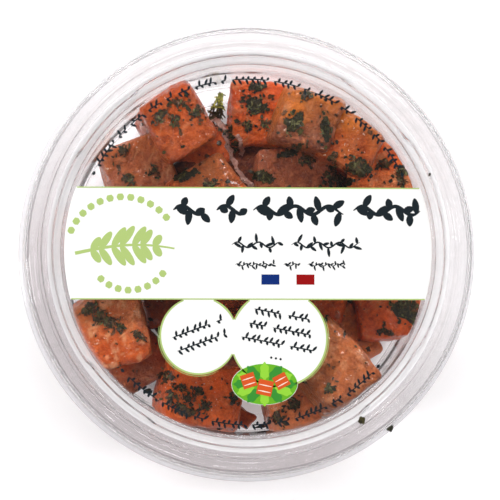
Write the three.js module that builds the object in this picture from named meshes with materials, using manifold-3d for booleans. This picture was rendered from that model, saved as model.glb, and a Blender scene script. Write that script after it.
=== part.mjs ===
// Diced gravlax in a shut round tub: a clear tub, a clear close-fitting lid, the printed label on
// the lid, and inside them a heap of salmon dice with chopped dill and one loose sprig.
// Millimetres, +Z up. The origin is on the table under the centre of the tub's foot ring.
// Seen from above, +X is to the right of the label and +Y is its top.

import * as THREE from "three";
import { mergeVertices } from "three/addons/utils/BufferGeometryUtils.js";
import Module from "manifold-3d";

const wasm = await Module();
wasm.setup();

// Driving dimensions
const HEIGHT = 40; // from the foot ring to the lid's crown
const LID_RADIUS = 59; // outer edge of the lid's skirt
const LID_WALL = 0.6; // thickness of the lid's sheet
const TUB_WALL = 0.7; // thickness of the tub's sheet
const GAP = 0.3; // clearance between pieces that touch on the real pack
const ROUND_STEPS = 48; // flats round the tub and the lid

// Lid: a sunken panel, two steps up to the crown, and a skirt that snaps over the tub's rim
const PANEL_TOP = HEIGHT - 4.2;
const PANEL_RADIUS = 47.4; // flat part of the panel
const LEDGE_TOP = HEIGHT - 2.1; // lower step, which carries the stacking lugs
const STEP_TOP = HEIGHT - 0.85; // upper step
const CROWN_INNER = 53.1;
const CROWN_OUTER = 56.5;
const SKIRT_TOP = 57.3;
const SKIRT_FOOT = HEIGHT - 9;
const LOCK_BEAD = HEIGHT - 4.7; // bead inside the skirt, under the lip of the tub's rim
const LUGS = 4;
const LUG_SPREAD = 24; // degrees that one stacking lug takes up
const LUG_FIRST = 48; // degrees from +X to the middle of the first lug

// Tub: a foot ring under a raised floor, a wall that widens upwards, and a rim under the crown
const FLOOR_TOP = 1.9;
const FOOT_INNER = 42.2;
const FOOT_OUTER = 45.9;
const WALL_FOOT = 46.2; // inside radius of the wall just over the foot ring
const WALL_HEAD = 50.6; // inside radius of the wall just under the rim's step
const WALL_HEAD_Z = HEIGHT - 3.6;
const RIM_TOP = HEIGHT - LID_WALL - GAP;
const RIM_INNER = 53.7;
const RIM_OUTER = 56.5;

// Label: a white band across the panel with two round fields and a leaf motif below it
const LABEL_THICKNESS = 0.25;
const LABEL_RADIUS = 47.2;
const BAND_TOP = 16.5;
const BAND_BOTTOM = -12.4;
const SMALL_FIELD = { x: -12.8, y: -21.6, radius: 10 };
const LARGE_FIELD = { x: 7.8, y: -22.3, radius: 12.5 };
const MOTIF = { x: 4.1, y: -34, width: 17, height: 10.6 };

// Heap: a low uneven core, with the dice that show round it and over it
const CORE_RADIUS = 33;
const CORE_TOP = 14;
const CORE_SIDES = 14;
const DIE_CUTS = 3; // squares along each edge of a die's face
const DIE_SOFTNESS = 0.32; // 0 keeps the cut cube, 1 makes a ball
const DIE_UNEVEN = 0.09; // how far a die's corners stray, as a share of its size

// The dice, each where it lies: x, y and foot of the die, then width, depth and height,
// then its turn about Z and its lean about its own X and Y, in degrees.
const UPPER_DICE = [
  [-17.7, 34, 16.8, 15.3, 16.4, 15, 30, 5.5, -6.5],
  [15.7, 34.8, 17.2, 15.5, 14.8, 15, -15, 3, 2],
  [27.6, 29.5, 14.8, 14.5, 12.8, 14, -30, 3, 4],
  [-34.6, -19.8, 14.2, 18.2, 17.5, 15, 16, 4, -3],
  [21.6, -29.2, 14.6, 16.5, 20.7, 15, 37, -7, 5],
  [-26, 1.5, 14.8, 15, 15.5, 14, 12, -4, 3],
  [-6.5, -1, 16.4, 16, 14.5, 14.5, -20, 3, 5],
  [12.5, 5.5, 16.8, 15, 16, 14, 34, -4, -3],
  [-1.5, -21.5, 16.2, 15.5, 15, 14, 8, 4, 4],
];
const LOWER_DICE = [
  [-27.6, 22.4, 2.2, 17, 17, 14.8, 20, 2, 3],
  [-9.9, 15.8, 2.2, 18.6, 16.2, 15.6, 32, -3, 3],
  [-10.2, 28.4, 2.2, 13.5, 10.5, 12, 12, 5, -4],
  [-20.5, 35, 2.2, 13, 12.5, 15.5, 28, 0, 2],
  [4.5, 37.4, 2.2, 15, 15.6, 17.5, -4, 3, -3],
  [15, 35.5, 2.2, 13, 12, 15, -10, 2, 0],
  [13.6, 21, 2.2, 20, 15.5, 17, 8, 3, 2],
  [36, 21.8, 2.2, 17.5, 17.5, 17.5, -8, 4, 5],
  [29, 32.5, 2.2, 14, 13.5, 13.5, -38, -3, 4],
  [-18.8, -10.8, 2.2, 15, 15, 14.5, 10, 3, 2],
  [-28.5, -27.5, 2.2, 15.5, 14.5, 13.5, 35, 3, -3],
  [-11.2, -34.6, 2.2, 20.8, 19, 18, -8, -3, 3],
  [14.6, -37, 2.2, 17.5, 14.8, 15.5, 18, -4, 4],
  [27, -21.2, 2.2, 13, 14, 14.5, 32, 4, -3],
  [38, -13.6, 2.2, 16.5, 17, 17.5, 8, 4, 4],
  [19.6, -9.8, 2.2, 15, 15.2, 16, -15, -3, -3],
  [-2, -8.5, 2.2, 15, 14.5, 15, 20, 2, 2],
  [-36.4, 2.4, 2.2, 15.5, 16.5, 14.5, -5, -3, -4],
  [34.2, 2.6, 2.2, 15.5, 15.5, 15, 12, 3, 4],
];
const SCRAP = [-0.6, -42.4, 2.2, 6.5, 4.2, 5.5, -30, 4, 0];

// The larger bits of dill that lie on the dice: x, y, length, width and turn in degrees
const DILL_THICKNESS = 0.7;
const DILL = [
  [-18.2, 38.4, 3.1, 1.8, -8],
  [-22.6, 35.1, 4.2, 2, 35],
  [-18.7, 34.1, 2.3, 2.8, 5],
  [-13.6, 36, 3.4, 2.6, 40],
  [-32, 27.4, 3.6, 1.7, 40],
  [-30.5, 20.1, 3.6, 2.1, -25],
  [-23.4, 22.1, 2.4, 2.3, 60],
  [-15.5, 20.8, 6.9, 2, 20],
  [-8.8, 19.1, 3.2, 1.6, 15],
  [3.1, 44, 4.6, 1.9, 5],
  [2.8, 39.2, 5.4, 4.2, -20],
  [0.5, 34.2, 2.4, 1.6, 0],
  [5.1, 34.5, 2, 2, 30],
  [15.2, 40.8, 2.6, 1.5, 30],
  [11.9, 33.5, 5, 3.6, 40],
  [20.2, 31.9, 6.7, 2.5, -85],
  [12.5, 27.1, 7.1, 1.9, 20],
  [16.1, 24.9, 3.3, 2.3, -15],
  [22.2, 24.8, 3, 1.4, 80],
  [4.6, 20.4, 5, 2.3, -8],
  [28.4, 22.8, 3.6, 3.4, 50],
  [29.4, 22.1, 5, 3.4, -20],
  [36.6, 24.1, 3, 1.8, 15],
  [41.5, 22.9, 3, 2.8, 50],
  [41.1, 20.1, 2.6, 2.4, -60],
  [-40.2, -14.3, 3.6, 2.6, 30],
  [-37.6, -16.9, 3.6, 2.1, -15],
  [-35.4, -18.3, 3.6, 2.5, -30],
  [-32.9, -19.3, 2.4, 1.6, -40],
  [-28, -21.6, 2.7, 1.6, -20],
  [-20.6, -31.9, 2.4, 3, 70],
  [-17, -34.6, 2.2, 2.1, 20],
  [-19.7, -37, 2.2, 2.6, 0],
  [-14.9, -37.6, 2.4, 2.6, 40],
  [-12.7, -35.5, 2.2, 2.1, -10],
  [-10.7, -39.4, 2.4, 2.3, 25],
  [-17, -40.3, 3.6, 2.6, -15],
  [-14.3, -41.1, 2.6, 2.1, 15],
  [-2.8, -37.6, 3.6, 1.5, 60],
  [21.2, -35, 2.6, 2, 35],
  [12.4, -39.1, 3.6, 3, 20],
  [8.6, -42.6, 3.1, 3, 60],
  [42.7, -15.3, 7.2, 3.4, -25],
  [41.8, -12.7, 3.6, 2.1, 10],
  [36.3, -20.1, 3.1, 1.4, -10],
];

// Loose sprig of dill on the tub's floor between two dice
const SPRIG = { x: -6.4, y: 40.8, length: 7.4, width: 2.6, thickness: 0.9, turn: 80 };
const SPRIG_TEETH = 5;

const radians = THREE.MathUtils.degToRad;

// Finishes of the pieces
function clearPlastic() {
  return new THREE.MeshStandardMaterial({
    color: 0xe9e6ec,
    roughness: 0.08,
    metalness: 0,
    transparent: true,
    opacity: 0.35,
  });
}

function labelPaper() {
  return new THREE.MeshStandardMaterial({ color: 0xfbfbf8, roughness: 0.4, metalness: 0 });
}

function salmonFlesh() {
  return new THREE.MeshStandardMaterial({ color: 0xb9572f, roughness: 0.35, metalness: 0 });
}

function dillGreen() {
  return new THREE.MeshStandardMaterial({ color: 0x6c7a2c, roughness: 0.6, metalness: 0 });
}

// A closed geometry as a solid for joins and cuts, with its poles' flat triangles left out
function toSolid(geometry) {
  const bare = geometry.index ? geometry.toNonIndexed() : geometry.clone();
  bare.deleteAttribute("normal");
  bare.deleteAttribute("uv");
  const merged = mergeVertices(bare);
  const corners = merged.index.array;
  const triVerts = [];
  for (let i = 0; i < corners.length; i += 3) {
    const [a, b, c] = corners.slice(i, i + 3);
    if (a !== b && b !== c && c !== a) {
      triVerts.push(a, b, c);
    }
  }
  const vertProperties = new Float32Array(merged.attributes.position.array);
  return new wasm.Manifold(
    new wasm.Mesh({ numProp: 3, vertProperties, triVerts: new Uint32Array(triVerts) }),
  );
}

// A solid back as a geometry
function toGeometry(solid) {
  const mesh = solid.getMesh();
  const geometry = new THREE.BufferGeometry();
  geometry.setAttribute("position", new THREE.BufferAttribute(mesh.vertProperties, 3));
  geometry.setIndex(new THREE.BufferAttribute(mesh.triVerts, 1));
  geometry.computeVertexNormals();
  return geometry;
}

function joined(solids) {
  return solids.reduce((whole, solid) => whole.add(solid));
}

// The profile runs from the axis over the top and back underneath, and a lathe turns it the
// other way round, so that its faces point out
function turned(profile) {
  const points = profile.map(([radius, z]) => new THREE.Vector2(radius, z)).reverse();
  const geometry = new THREE.LatheGeometry(points, ROUND_STEPS);
  geometry.rotateX(Math.PI / 2);
  return toSolid(geometry);
}

// A flat shape in the XY plane, raised from one height to another
function raised(shape, bottom, top, steps) {
  const geometry = new THREE.ExtrudeGeometry(shape, {
    depth: top - bottom,
    bevelEnabled: false,
    curveSegments: steps,
  });
  geometry.translate(0, 0, bottom);
  return toSolid(geometry);
}

function piece(name, solid, material) {
  const mesh = new THREE.Mesh(toGeometry(solid), material);
  mesh.name = name;
  return mesh;
}

// Draws between -1 and 1 that are the same on every run
function drawsFrom(seed) {
  let state = seed;
  return () => {
    state = (state * 16807) % 2147483647;
    return (2 * state) / 2147483647 - 1;
  };
}

// Radius of the tub wall's inside face at a height
function wallRadius(z) {
  const share = (z - FLOOR_TOP) / (WALL_HEAD_Z - FLOOR_TOP);
  return WALL_FOOT + (WALL_HEAD - WALL_FOOT) * share;
}

function makeTub() {
  const outerFoot = WALL_FOOT + TUB_WALL;
  const outerHead = WALL_HEAD + TUB_WALL;
  return turned([
    [0, FLOOR_TOP],
    [FOOT_INNER - 0.4, FLOOR_TOP],
    [FOOT_INNER + 0.6, TUB_WALL + 0.2], // groove over the foot ring
    [FOOT_OUTER - 0.6, TUB_WALL + 0.2],
    [WALL_FOOT, FLOOR_TOP + 0.1],
    [WALL_HEAD, WALL_HEAD_Z],
    [WALL_HEAD + 0.5, WALL_HEAD_Z + 0.6], // step under the lid's plug
    [RIM_INNER - 0.3, RIM_TOP - 1],
    [RIM_INNER, RIM_TOP - 0.3],
    [RIM_INNER + 0.4, RIM_TOP],
    [RIM_OUTER - 0.3, RIM_TOP],
    [RIM_OUTER, RIM_TOP - 0.3],
    [RIM_OUTER, RIM_TOP - 1.9], // lip that the skirt snaps under
    [RIM_OUTER - 0.6, RIM_TOP - 1.9],
    [RIM_OUTER - 0.6, RIM_TOP - 0.8],
    [RIM_INNER + 0.6, RIM_TOP - 0.8],
    [outerHead + 0.9, WALL_HEAD_Z + 0.7],
    [outerHead, WALL_HEAD_Z - 0.3],
    [outerFoot, FLOOR_TOP],
    [FOOT_OUTER + 0.4, 0.5],
    [FOOT_OUTER - 0.2, 0], // foot ring that the tub stands on
    [FOOT_INNER + 0.8, 0],
    [FOOT_INNER, 0.4],
    [FOOT_INNER - 0.6, FLOOR_TOP - TUB_WALL],
    [0, FLOOR_TOP - TUB_WALL],
  ]);
}

function makeLidShell() {
  return turned([
    [0, PANEL_TOP],
    [PANEL_RADIUS, PANEL_TOP],
    [PANEL_RADIUS + 0.4, PANEL_TOP + 0.4],
    [PANEL_RADIUS + 0.7, LEDGE_TOP - 0.3],
    [PANEL_RADIUS + 1.1, LEDGE_TOP],
    [PANEL_RADIUS + 2.5, LEDGE_TOP],
    [PANEL_RADIUS + 3, STEP_TOP - 0.15],
    [PANEL_RADIUS + 3.4, STEP_TOP],
    [CROWN_INNER - 0.9, STEP_TOP],
    [CROWN_INNER - 0.35, HEIGHT - 0.15],
    [CROWN_INNER, HEIGHT],
    [CROWN_OUTER, HEIGHT],
    [SKIRT_TOP - 0.2, HEIGHT - 0.3],
    [SKIRT_TOP, HEIGHT - 0.8],
    [SKIRT_TOP + 0.7, SKIRT_FOOT],
    [LID_RADIUS - 0.7, SKIRT_FOOT - 0.5], // flare at the skirt's foot
    [LID_RADIUS, SKIRT_FOOT - 0.7],
    [LID_RADIUS, SKIRT_FOOT - 1.3],
    [LID_RADIUS - 0.9, SKIRT_FOOT - 1.2],
    [SKIRT_TOP + 0.1, SKIRT_FOOT - 0.5],
    [SKIRT_TOP - 0.1, LOCK_BEAD - 1],
    [SKIRT_TOP - 0.9, LOCK_BEAD],
    [SKIRT_TOP - 0.3, LOCK_BEAD + 0.9],
    [RIM_OUTER + GAP, HEIGHT - 1],
    [RIM_OUTER - 0.1, HEIGHT - LID_WALL],
    [CROWN_INNER + 0.25, HEIGHT - LID_WALL],
    [CROWN_INNER - 0.35, STEP_TOP - LID_WALL],
    [PANEL_RADIUS + 3.6, STEP_TOP - LID_WALL],
    [PANEL_RADIUS + 2.9, LEDGE_TOP - LID_WALL],
    [PANEL_RADIUS + 1.4, LEDGE_TOP - LID_WALL],
    [PANEL_RADIUS + 1, PANEL_TOP + 0.1],
    [PANEL_RADIUS + 0.3, PANEL_TOP - LID_WALL],
    [0, PANEL_TOP - LID_WALL],
  ]);
}

// One stacking lug: a short arc that bridges the lower step and the wall above it
function makeLug(middle) {
  const inner = PANEL_RADIUS + 1.2;
  const outer = PANEL_RADIUS + 3.1;
  const start = radians(middle - LUG_SPREAD / 2);
  const end = radians(middle + LUG_SPREAD / 2);
  const shape = new THREE.Shape();
  shape.absarc(0, 0, outer, start, end, false);
  shape.absarc(0, 0, inner, end, start, true);
  return raised(shape, LEDGE_TOP - 0.3, STEP_TOP - 0.3, 6);
}

function makeLid() {
  const solids = [makeLidShell()];
  for (let i = 0; i < LUGS; i += 1) {
    solids.push(makeLug(LUG_FIRST + (i * 360) / LUGS));
  }
  return joined(solids);
}

// The band runs across the panel and ends on its circle
function bandShape() {
  const upper = Math.asin(BAND_TOP / LABEL_RADIUS);
  const lower = Math.asin(BAND_BOTTOM / LABEL_RADIUS);
  const shape = new THREE.Shape();
  shape.absarc(0, 0, LABEL_RADIUS, lower, upper, false);
  shape.absarc(0, 0, LABEL_RADIUS, Math.PI - upper, Math.PI - lower, false);
  return shape;
}

function roundField(field) {
  const shape = new THREE.Shape();
  shape.absarc(field.x, field.y, field.radius, 0, 2 * Math.PI, false);
  return shape;
}

function motifShape() {
  const shape = new THREE.Shape();
  shape.absellipse(MOTIF.x, MOTIF.y, MOTIF.width / 2, MOTIF.height / 2, 0, 2 * Math.PI, false, 0);
  return shape;
}

function makeLabel() {
  const shapes = [bandShape(), roundField(SMALL_FIELD), roundField(LARGE_FIELD), motifShape()];
  const top = PANEL_TOP + LABEL_THICKNESS;
  return joined(shapes.map((shape) => raised(shape, PANEL_TOP, top, 16)));
}

// Trilinear stray of a point inside a box whose eight corners are moved
function strayed(point, strays) {
  const moved = point.clone();
  strays.forEach((stray, corner) => {
    const weight =
      (0.5 + (corner & 1 ? 0.5 : -0.5) * point.x) *
      (0.5 + (corner & 2 ? 0.5 : -0.5) * point.y) *
      (0.5 + (corner & 4 ? 0.5 : -0.5) * point.z);
    moved.addScaledVector(stray, weight);
  });
  return moved;
}

// A soft die: a cut cube with strayed corners, swollen faces and rounded edges
function makeDie([x, y, foot, width, depth, height, turn, leanX, leanY], seed) {
  const draw = drawsFrom(seed);
  const strays = [];
  for (let corner = 0; corner < 8; corner += 1) {
    strays.push(new THREE.Vector3(draw(), draw(), draw()).multiplyScalar(DIE_UNEVEN * 2));
  }
  const geometry = new THREE.BoxGeometry(2, 2, 2, DIE_CUTS, DIE_CUTS, DIE_CUTS);
  const place = geometry.attributes.position;
  const swell = 1 + DIE_SOFTNESS * 0.12;
  for (let i = 0; i < place.count; i += 1) {
    const cube = new THREE.Vector3().fromBufferAttribute(place, i);
    const square = cube.clone().multiply(cube);
    const ball = new THREE.Vector3(
      cube.x * Math.sqrt(1 - square.y / 2 - square.z / 2 + (square.y * square.z) / 3),
      cube.y * Math.sqrt(1 - square.z / 2 - square.x / 2 + (square.z * square.x) / 3),
      cube.z * Math.sqrt(1 - square.x / 2 - square.y / 2 + (square.x * square.y) / 3),
    );
    const soft = strayed(cube.lerp(ball, DIE_SOFTNESS), strays).multiplyScalar(swell);
    place.setXYZ(i, (soft.x * width) / 2, (soft.y * depth) / 2, (soft.z * height) / 2);
  }
  const lie = new THREE.Euler(radians(leanX), radians(leanY), radians(turn), "ZXY");
  geometry.applyMatrix4(new THREE.Matrix4().makeRotationFromEuler(lie));
  geometry.translate(x, y, foot + height / 2);
  return toSolid(geometry);
}

// The core that fills the heap's middle under the dice
function makeCore() {
  const draw = drawsFrom(11);
  const geometry = new THREE.CylinderGeometry(
    CORE_RADIUS * 0.86,
    CORE_RADIUS,
    CORE_TOP - FLOOR_TOP,
    CORE_SIDES,
  );
  geometry.rotateX(Math.PI / 2);
  geometry.translate(0, 0, (CORE_TOP + FLOOR_TOP) / 2);
  geometry.deleteAttribute("normal");
  geometry.deleteAttribute("uv");
  const core = mergeVertices(geometry);
  const place = core.attributes.position;
  for (let i = 0; i < place.count; i += 1) {
    const shrink = 1 + 0.05 * draw();
    place.setXYZ(i, place.getX(i) * shrink, place.getY(i) * shrink, place.getZ(i) + 0.5 * draw());
  }
  return toSolid(core);
}

// The space inside the tub and under the lid that the heap may take up
function makeRoom() {
  const floor = FLOOR_TOP + GAP;
  const roof = PANEL_TOP - LID_WALL - 1;
  return turned([
    [0, roof],
    [wallRadius(roof) - 2 * GAP, roof],
    [wallRadius(floor) - 2 * GAP - 0.2, floor],
    [0, floor],
  ]);
}

// A bit of chopped dill: a thin six-sided flake with its points drawn a little off
function makeFlake(length, width, thickness, draw) {
  const shape = new THREE.Shape();
  for (let i = 0; i < 6; i += 1) {
    const turn = radians(60 * i + 12 * draw());
    const reach = 1 + 0.18 * draw();
    const x = 0.5 * length * reach * Math.cos(turn);
    const y = 0.5 * width * reach * Math.sin(turn);
    if (i === 0) {
      shape.moveTo(x, y);
    } else {
      shape.lineTo(x, y);
    }
  }
  shape.closePath();
  return new THREE.ExtrudeGeometry(shape, { depth: thickness, bevelEnabled: false });
}

// Lays the flakes flat on what they meet from above, sunk by half their thickness
function makeDill(heap) {
  const target = new THREE.Mesh(toGeometry(heap), salmonFlesh());
  const down = new THREE.Vector3(0, 0, -1);
  const draw = drawsFrom(29);
  const flakes = [];
  for (const [x, y, length, width, turn] of DILL) {
    const ray = new THREE.Raycaster(new THREE.Vector3(x, y, HEIGHT), down);
    const [hit] = ray.intersectObject(target);
    if (!hit || hit.point.z < FLOOR_TOP + 2) {
      continue;
    }
    const geometry = makeFlake(length, width, DILL_THICKNESS, draw);
    geometry.translate(0, 0, -DILL_THICKNESS / 2);
    geometry.rotateZ(radians(turn));
    const lie = new THREE.Quaternion().setFromUnitVectors(new THREE.Vector3(0, 0, 1), hit.face.normal);
    geometry.applyQuaternion(lie);
    geometry.translate(hit.point.x, hit.point.y, hit.point.z);
    flakes.push(toSolid(geometry));
  }
  return flakes;
}

// One body: what is not joined to the heap, or lies sealed inside it, is left out
function largest(solid) {
  const parts = solid.decompose();
  return parts.reduce((most, part) => (part.volume() > most.volume() ? part : most));
}

function makeHeap() {
  const dice = [...UPPER_DICE, ...LOWER_DICE, SCRAP].map((die, i) => makeDie(die, 101 + 37 * i));
  const room = makeRoom();
  const bare = joined([makeCore(), ...dice]).intersect(room);
  return largest(joined([bare, ...makeDill(bare)]).intersect(room));
}

// The sprig: a leaf with teeth on both sides, bent along its length
function makeSprig() {
  const shape = new THREE.Shape();
  const half = SPRIG.length / 2;
  const tooth = SPRIG.length / SPRIG_TEETH;
  shape.moveTo(-half, 0);
  for (let i = 0; i < SPRIG_TEETH; i += 1) {
    const x = -half + i * tooth;
    shape.lineTo(x + 0.45 * tooth, SPRIG.width / 2);
    shape.lineTo(x + tooth, i < SPRIG_TEETH - 1 ? SPRIG.width / 6 : 0);
  }
  for (let i = SPRIG_TEETH - 1; i >= 0; i -= 1) {
    const x = -half + i * tooth;
    shape.lineTo(x + 0.6 * tooth, -SPRIG.width / 2);
    if (i > 0) {
      shape.lineTo(x + 0.1 * tooth, -SPRIG.width / 6);
    }
  }
  shape.closePath();
  const geometry = new THREE.ExtrudeGeometry(shape, { depth: SPRIG.thickness, bevelEnabled: false });
  const place = geometry.attributes.position;
  for (let i = 0; i < place.count; i += 1) {
    const lift = 0.5 * (1 - Math.cos((Math.PI * place.getX(i)) / half));
    place.setZ(i, place.getZ(i) + lift);
  }
  geometry.rotateZ(radians(SPRIG.turn));
  geometry.translate(SPRIG.x, SPRIG.y, FLOOR_TOP + GAP);
  return toSolid(geometry);
}

const heap = makeHeap();
const group = new THREE.Group();
group.add(piece("tub", makeTub(), clearPlastic()));
group.add(piece("lid", makeLid(), clearPlastic()));
group.add(piece("label", makeLabel(), labelPaper()));
group.add(piece("salmon_dice", heap, salmonFlesh()));
group.add(piece("dill_sprig", makeSprig(), dillGreen()));

export default group;
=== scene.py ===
# %% [markdown]
# # Diced gravlax in a shut tub
# The real thing is a shut pack: a round tub and a close-fitting lid formed from thin clear plastic
# sheet, a label printed on the lid, and inside them a heap of cured salmon dice with chopped
# dill on them. The CAD model has the tub, the lid, the label, one dill sprig and one heap.
# This script loads that model as a fixed frame and builds the fine surfaces over it.

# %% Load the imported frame
import math
import random

import bmesh
import bpy
from mathutils import Euler, Matrix, Vector, noise
from mathutils.bvhtree import BVHTree


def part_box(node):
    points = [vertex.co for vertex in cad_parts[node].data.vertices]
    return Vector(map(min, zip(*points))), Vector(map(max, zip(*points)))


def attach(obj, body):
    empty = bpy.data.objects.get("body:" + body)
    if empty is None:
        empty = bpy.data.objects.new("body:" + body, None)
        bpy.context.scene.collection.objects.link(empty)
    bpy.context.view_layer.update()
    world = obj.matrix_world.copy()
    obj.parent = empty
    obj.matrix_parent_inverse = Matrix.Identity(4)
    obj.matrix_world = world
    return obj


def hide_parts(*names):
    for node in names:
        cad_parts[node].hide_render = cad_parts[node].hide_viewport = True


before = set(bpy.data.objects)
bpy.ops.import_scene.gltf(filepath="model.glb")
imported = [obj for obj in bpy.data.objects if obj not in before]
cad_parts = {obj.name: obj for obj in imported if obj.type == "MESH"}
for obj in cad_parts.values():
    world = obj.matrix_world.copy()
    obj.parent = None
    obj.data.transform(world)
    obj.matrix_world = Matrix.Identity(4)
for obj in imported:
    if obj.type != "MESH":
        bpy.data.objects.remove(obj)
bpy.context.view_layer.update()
print("CAD nodes:", sorted(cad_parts))

# %% [markdown]
# ## Sizes
# Blender works in metres, but a pack is drawn in millimetres, so every size below is in
# millimetres and is multiplied by MM where a shape is made. What the frame can tell is read
# from it: the height, the lid's radius and the label's level. The rest are the same named
# sizes as in the CAD model, apart from the two sheets: a solid has to be thicker than they
# are, and here they are as thin as the real ones. The pack ends a micron inside its box.

# %% Sizes of the pack
MM = 0.001
INSIDE = 0.001
LID_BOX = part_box("lid")
HEIGHT = LID_BOX[1][2] / MM - INSIDE
LID_RADIUS = LID_BOX[1][0] / MM - INSIDE
LID_WALL = 0.25
TUB_WALL = 0.3
GAP = 0.3
PANEL_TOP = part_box("label")[0][2] / MM
PANEL_RADIUS = 47.4
LEDGE_TOP = HEIGHT - 2.1
STEP_TOP = HEIGHT - 0.85
CROWN_INNER = 53.1
CROWN_OUTER = 56.5
SKIRT_TOP = 57.3
SKIRT_FOOT = HEIGHT - 9
LOCK_BEAD = HEIGHT - 4.7
LUGS = 4
LUG_SPREAD = 24
LUG_FIRST = 48
LUG_INWARD = 0.45
FLOOR_TOP = 1.9
FOOT_INNER = 42.2
FOOT_OUTER = 45.9
WALL_FOOT = 46.2
WALL_HEAD = 50.6
WALL_HEAD_Z = HEIGHT - 3.6
RIM_TOP = HEIGHT - 0.9
RIM_INNER = 53.7
RIM_OUTER = 56.5
ROUND_STEPS = 180
print(f"pack {2 * LID_RADIUS:.1f} mm wide and {HEIGHT:.1f} mm high, panel at {PANEL_TOP:.2f} mm")

# %% [markdown]
# ## Small tools for modelling
# Operators act on whatever is selected, and the frame leaves the CAD nodes selected. So each
# step first deselects everything, then makes one object active. A finished piece keeps its
# object at the origin and its place in its mesh, as the CAD nodes do.


# %% Selecting, naming and finishing objects
def start_clean():
    """Nothing selected, and object mode."""
    if bpy.context.mode != "OBJECT":
        bpy.ops.object.mode_set(mode="OBJECT")
    bpy.ops.object.select_all(action="DESELECT")


def take(piece):
    """This object alone, selected and active."""
    start_clean()
    piece.select_set(True)
    bpy.context.view_layer.objects.active = piece


def new_piece(name, points, edges=(), faces=()):
    """An object from points in millimetres."""
    mesh = bpy.data.meshes.new(name)
    mesh.from_pydata([Vector(point) * MM for point in points], list(edges), list(faces))
    piece = bpy.data.objects.new(name, mesh)
    bpy.context.collection.objects.link(piece)
    take(piece)
    return piece


def apply_all(piece):
    """Applies the piece's modifiers from first to last."""
    take(piece)
    for modifier in list(piece.modifiers):
        bpy.ops.object.modifier_apply(modifier=modifier.name)


def join_all(name, pieces):
    """Several pieces as one, under one name."""
    start_clean()
    for piece in pieces:
        piece.select_set(True)
    bpy.context.view_layer.objects.active = pieces[0]
    bpy.ops.object.join()
    whole = bpy.context.object
    whole.name = name
    whole.data.name = name
    return whole


def triangles_of(piece):
    return sum(len(face.vertices) - 2 for face in piece.data.polygons)


def finish_piece(piece, material, node=None):
    """Gives a piece its material, its body and the CAD node it stands for."""
    piece.data.materials.clear()
    piece.data.materials.append(material)
    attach(piece, "root")
    if node:
        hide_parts(node)
    print(f"{piece.name}: {triangles_of(piece)} triangles")


# %% [markdown]
# ## Shader maths as Python
# A material is a graph of nodes. The class below wraps one output socket, so that a line such
# as 0.3 + 0.2 * grain adds its Math nodes by itself. Colours are mixed by Mix nodes, because
# a Math node would turn them grey.


# %% A wrapped socket and a material's graph
class Value:
    """One node output, on which + * / add Math nodes."""

    def __init__(self, graph, socket):
        self.graph = graph
        self.socket = socket

    def __add__(self, other):
        return self.graph.maths("ADD", self, other)

    def __mul__(self, other):
        return self.graph.maths("MULTIPLY", self, other)

    def __truediv__(self, other):
        return self.graph.maths("DIVIDE", self, other)

    __radd__ = __add__
    __rmul__ = __mul__


class Graph:
    """The nodes of one material or of the world."""

    def __init__(self, tree):
        self.tree = tree
        tree.nodes.clear()

    def node(self, kind, settings=None, inputs=None, output=0):
        """A node of a type, with its settings first and then the values or links of its sockets."""
        made = self.tree.nodes.new(kind)
        for key, setting in (settings or {}).items():
            setattr(made, key, setting)
        for key, given in (inputs or {}).items():
            if isinstance(given, Value):
                self.tree.links.new(given.socket, made.inputs[key])
            else:
                made.inputs[key].default_value = given
        return Value(self, made.outputs[output]) if made.outputs else made

    def maths(self, operation, first, second):
        return self.node("ShaderNodeMath", {"operation": operation}, {0: first, 1: second})

    def steps(self, given, low, high):
        """0 below low, 1 above high and a soft step between them."""
        settings = {"interpolation_type": "SMOOTHSTEP"}
        return self.node("ShaderNodeMapRange", settings, {0: given, 1: low, 2: high})

    def mix(self, first, second, share, blend="MIX"):
        settings = {"data_type": "RGBA", "blend_type": blend, "clamp_factor": True}
        return self.node("ShaderNodeMix", settings, {0: share, 6: first, 7: second}, output=2)

    def attribute(self, name, output):
        return self.node("ShaderNodeAttribute", {"attribute_name": name}, output=output)

    def place(self):
        """Object coordinates, in metres."""
        return self.node("ShaderNodeTexCoord", output=3)

    def along(self, vector, axis):
        """How far a vector reaches along X, Y or Z."""
        return self.node("ShaderNodeSeparateXYZ", {}, {0: vector}, output="XYZ".index(axis))

    def grain(self, size, detail=3, roughness=0.5):
        """Noise whose blotches are about size millimetres across."""
        inputs = {"Vector": self.place(), "Scale": 1 / (size * MM)}
        inputs.update({"Detail": detail, "Roughness": roughness})
        return self.node("ShaderNodeTexNoise", {}, inputs)

    def bump(self, height, depth):
        """A normal from a height of 0 to 1 that is depth millimetres deep."""
        inputs = {"Strength": 1.0, "Distance": depth * MM, "Height": height}
        return self.node("ShaderNodeBump", {}, inputs)

    def surface(self, shader):
        self.node("ShaderNodeOutputMaterial", {}, {"Surface": shader})


def new_material(name):
    material = bpy.data.materials.new(name)
    material.use_nodes = True
    return material, Graph(material.node_tree)


def colour(red, green, blue):
    """A colour from screen values of 0 to 255, as the linear colour that Blender mixes."""

    def linear(level):
        share = level / 255
        return share / 12.92 if share <= 0.04045 else ((share + 0.055) / 1.055) ** 2.4

    return (linear(red), linear(green), linear(blue), 1.0)


print("orange 205,90,45 is linear", [round(level, 3) for level in colour(205, 90, 45)])
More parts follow.
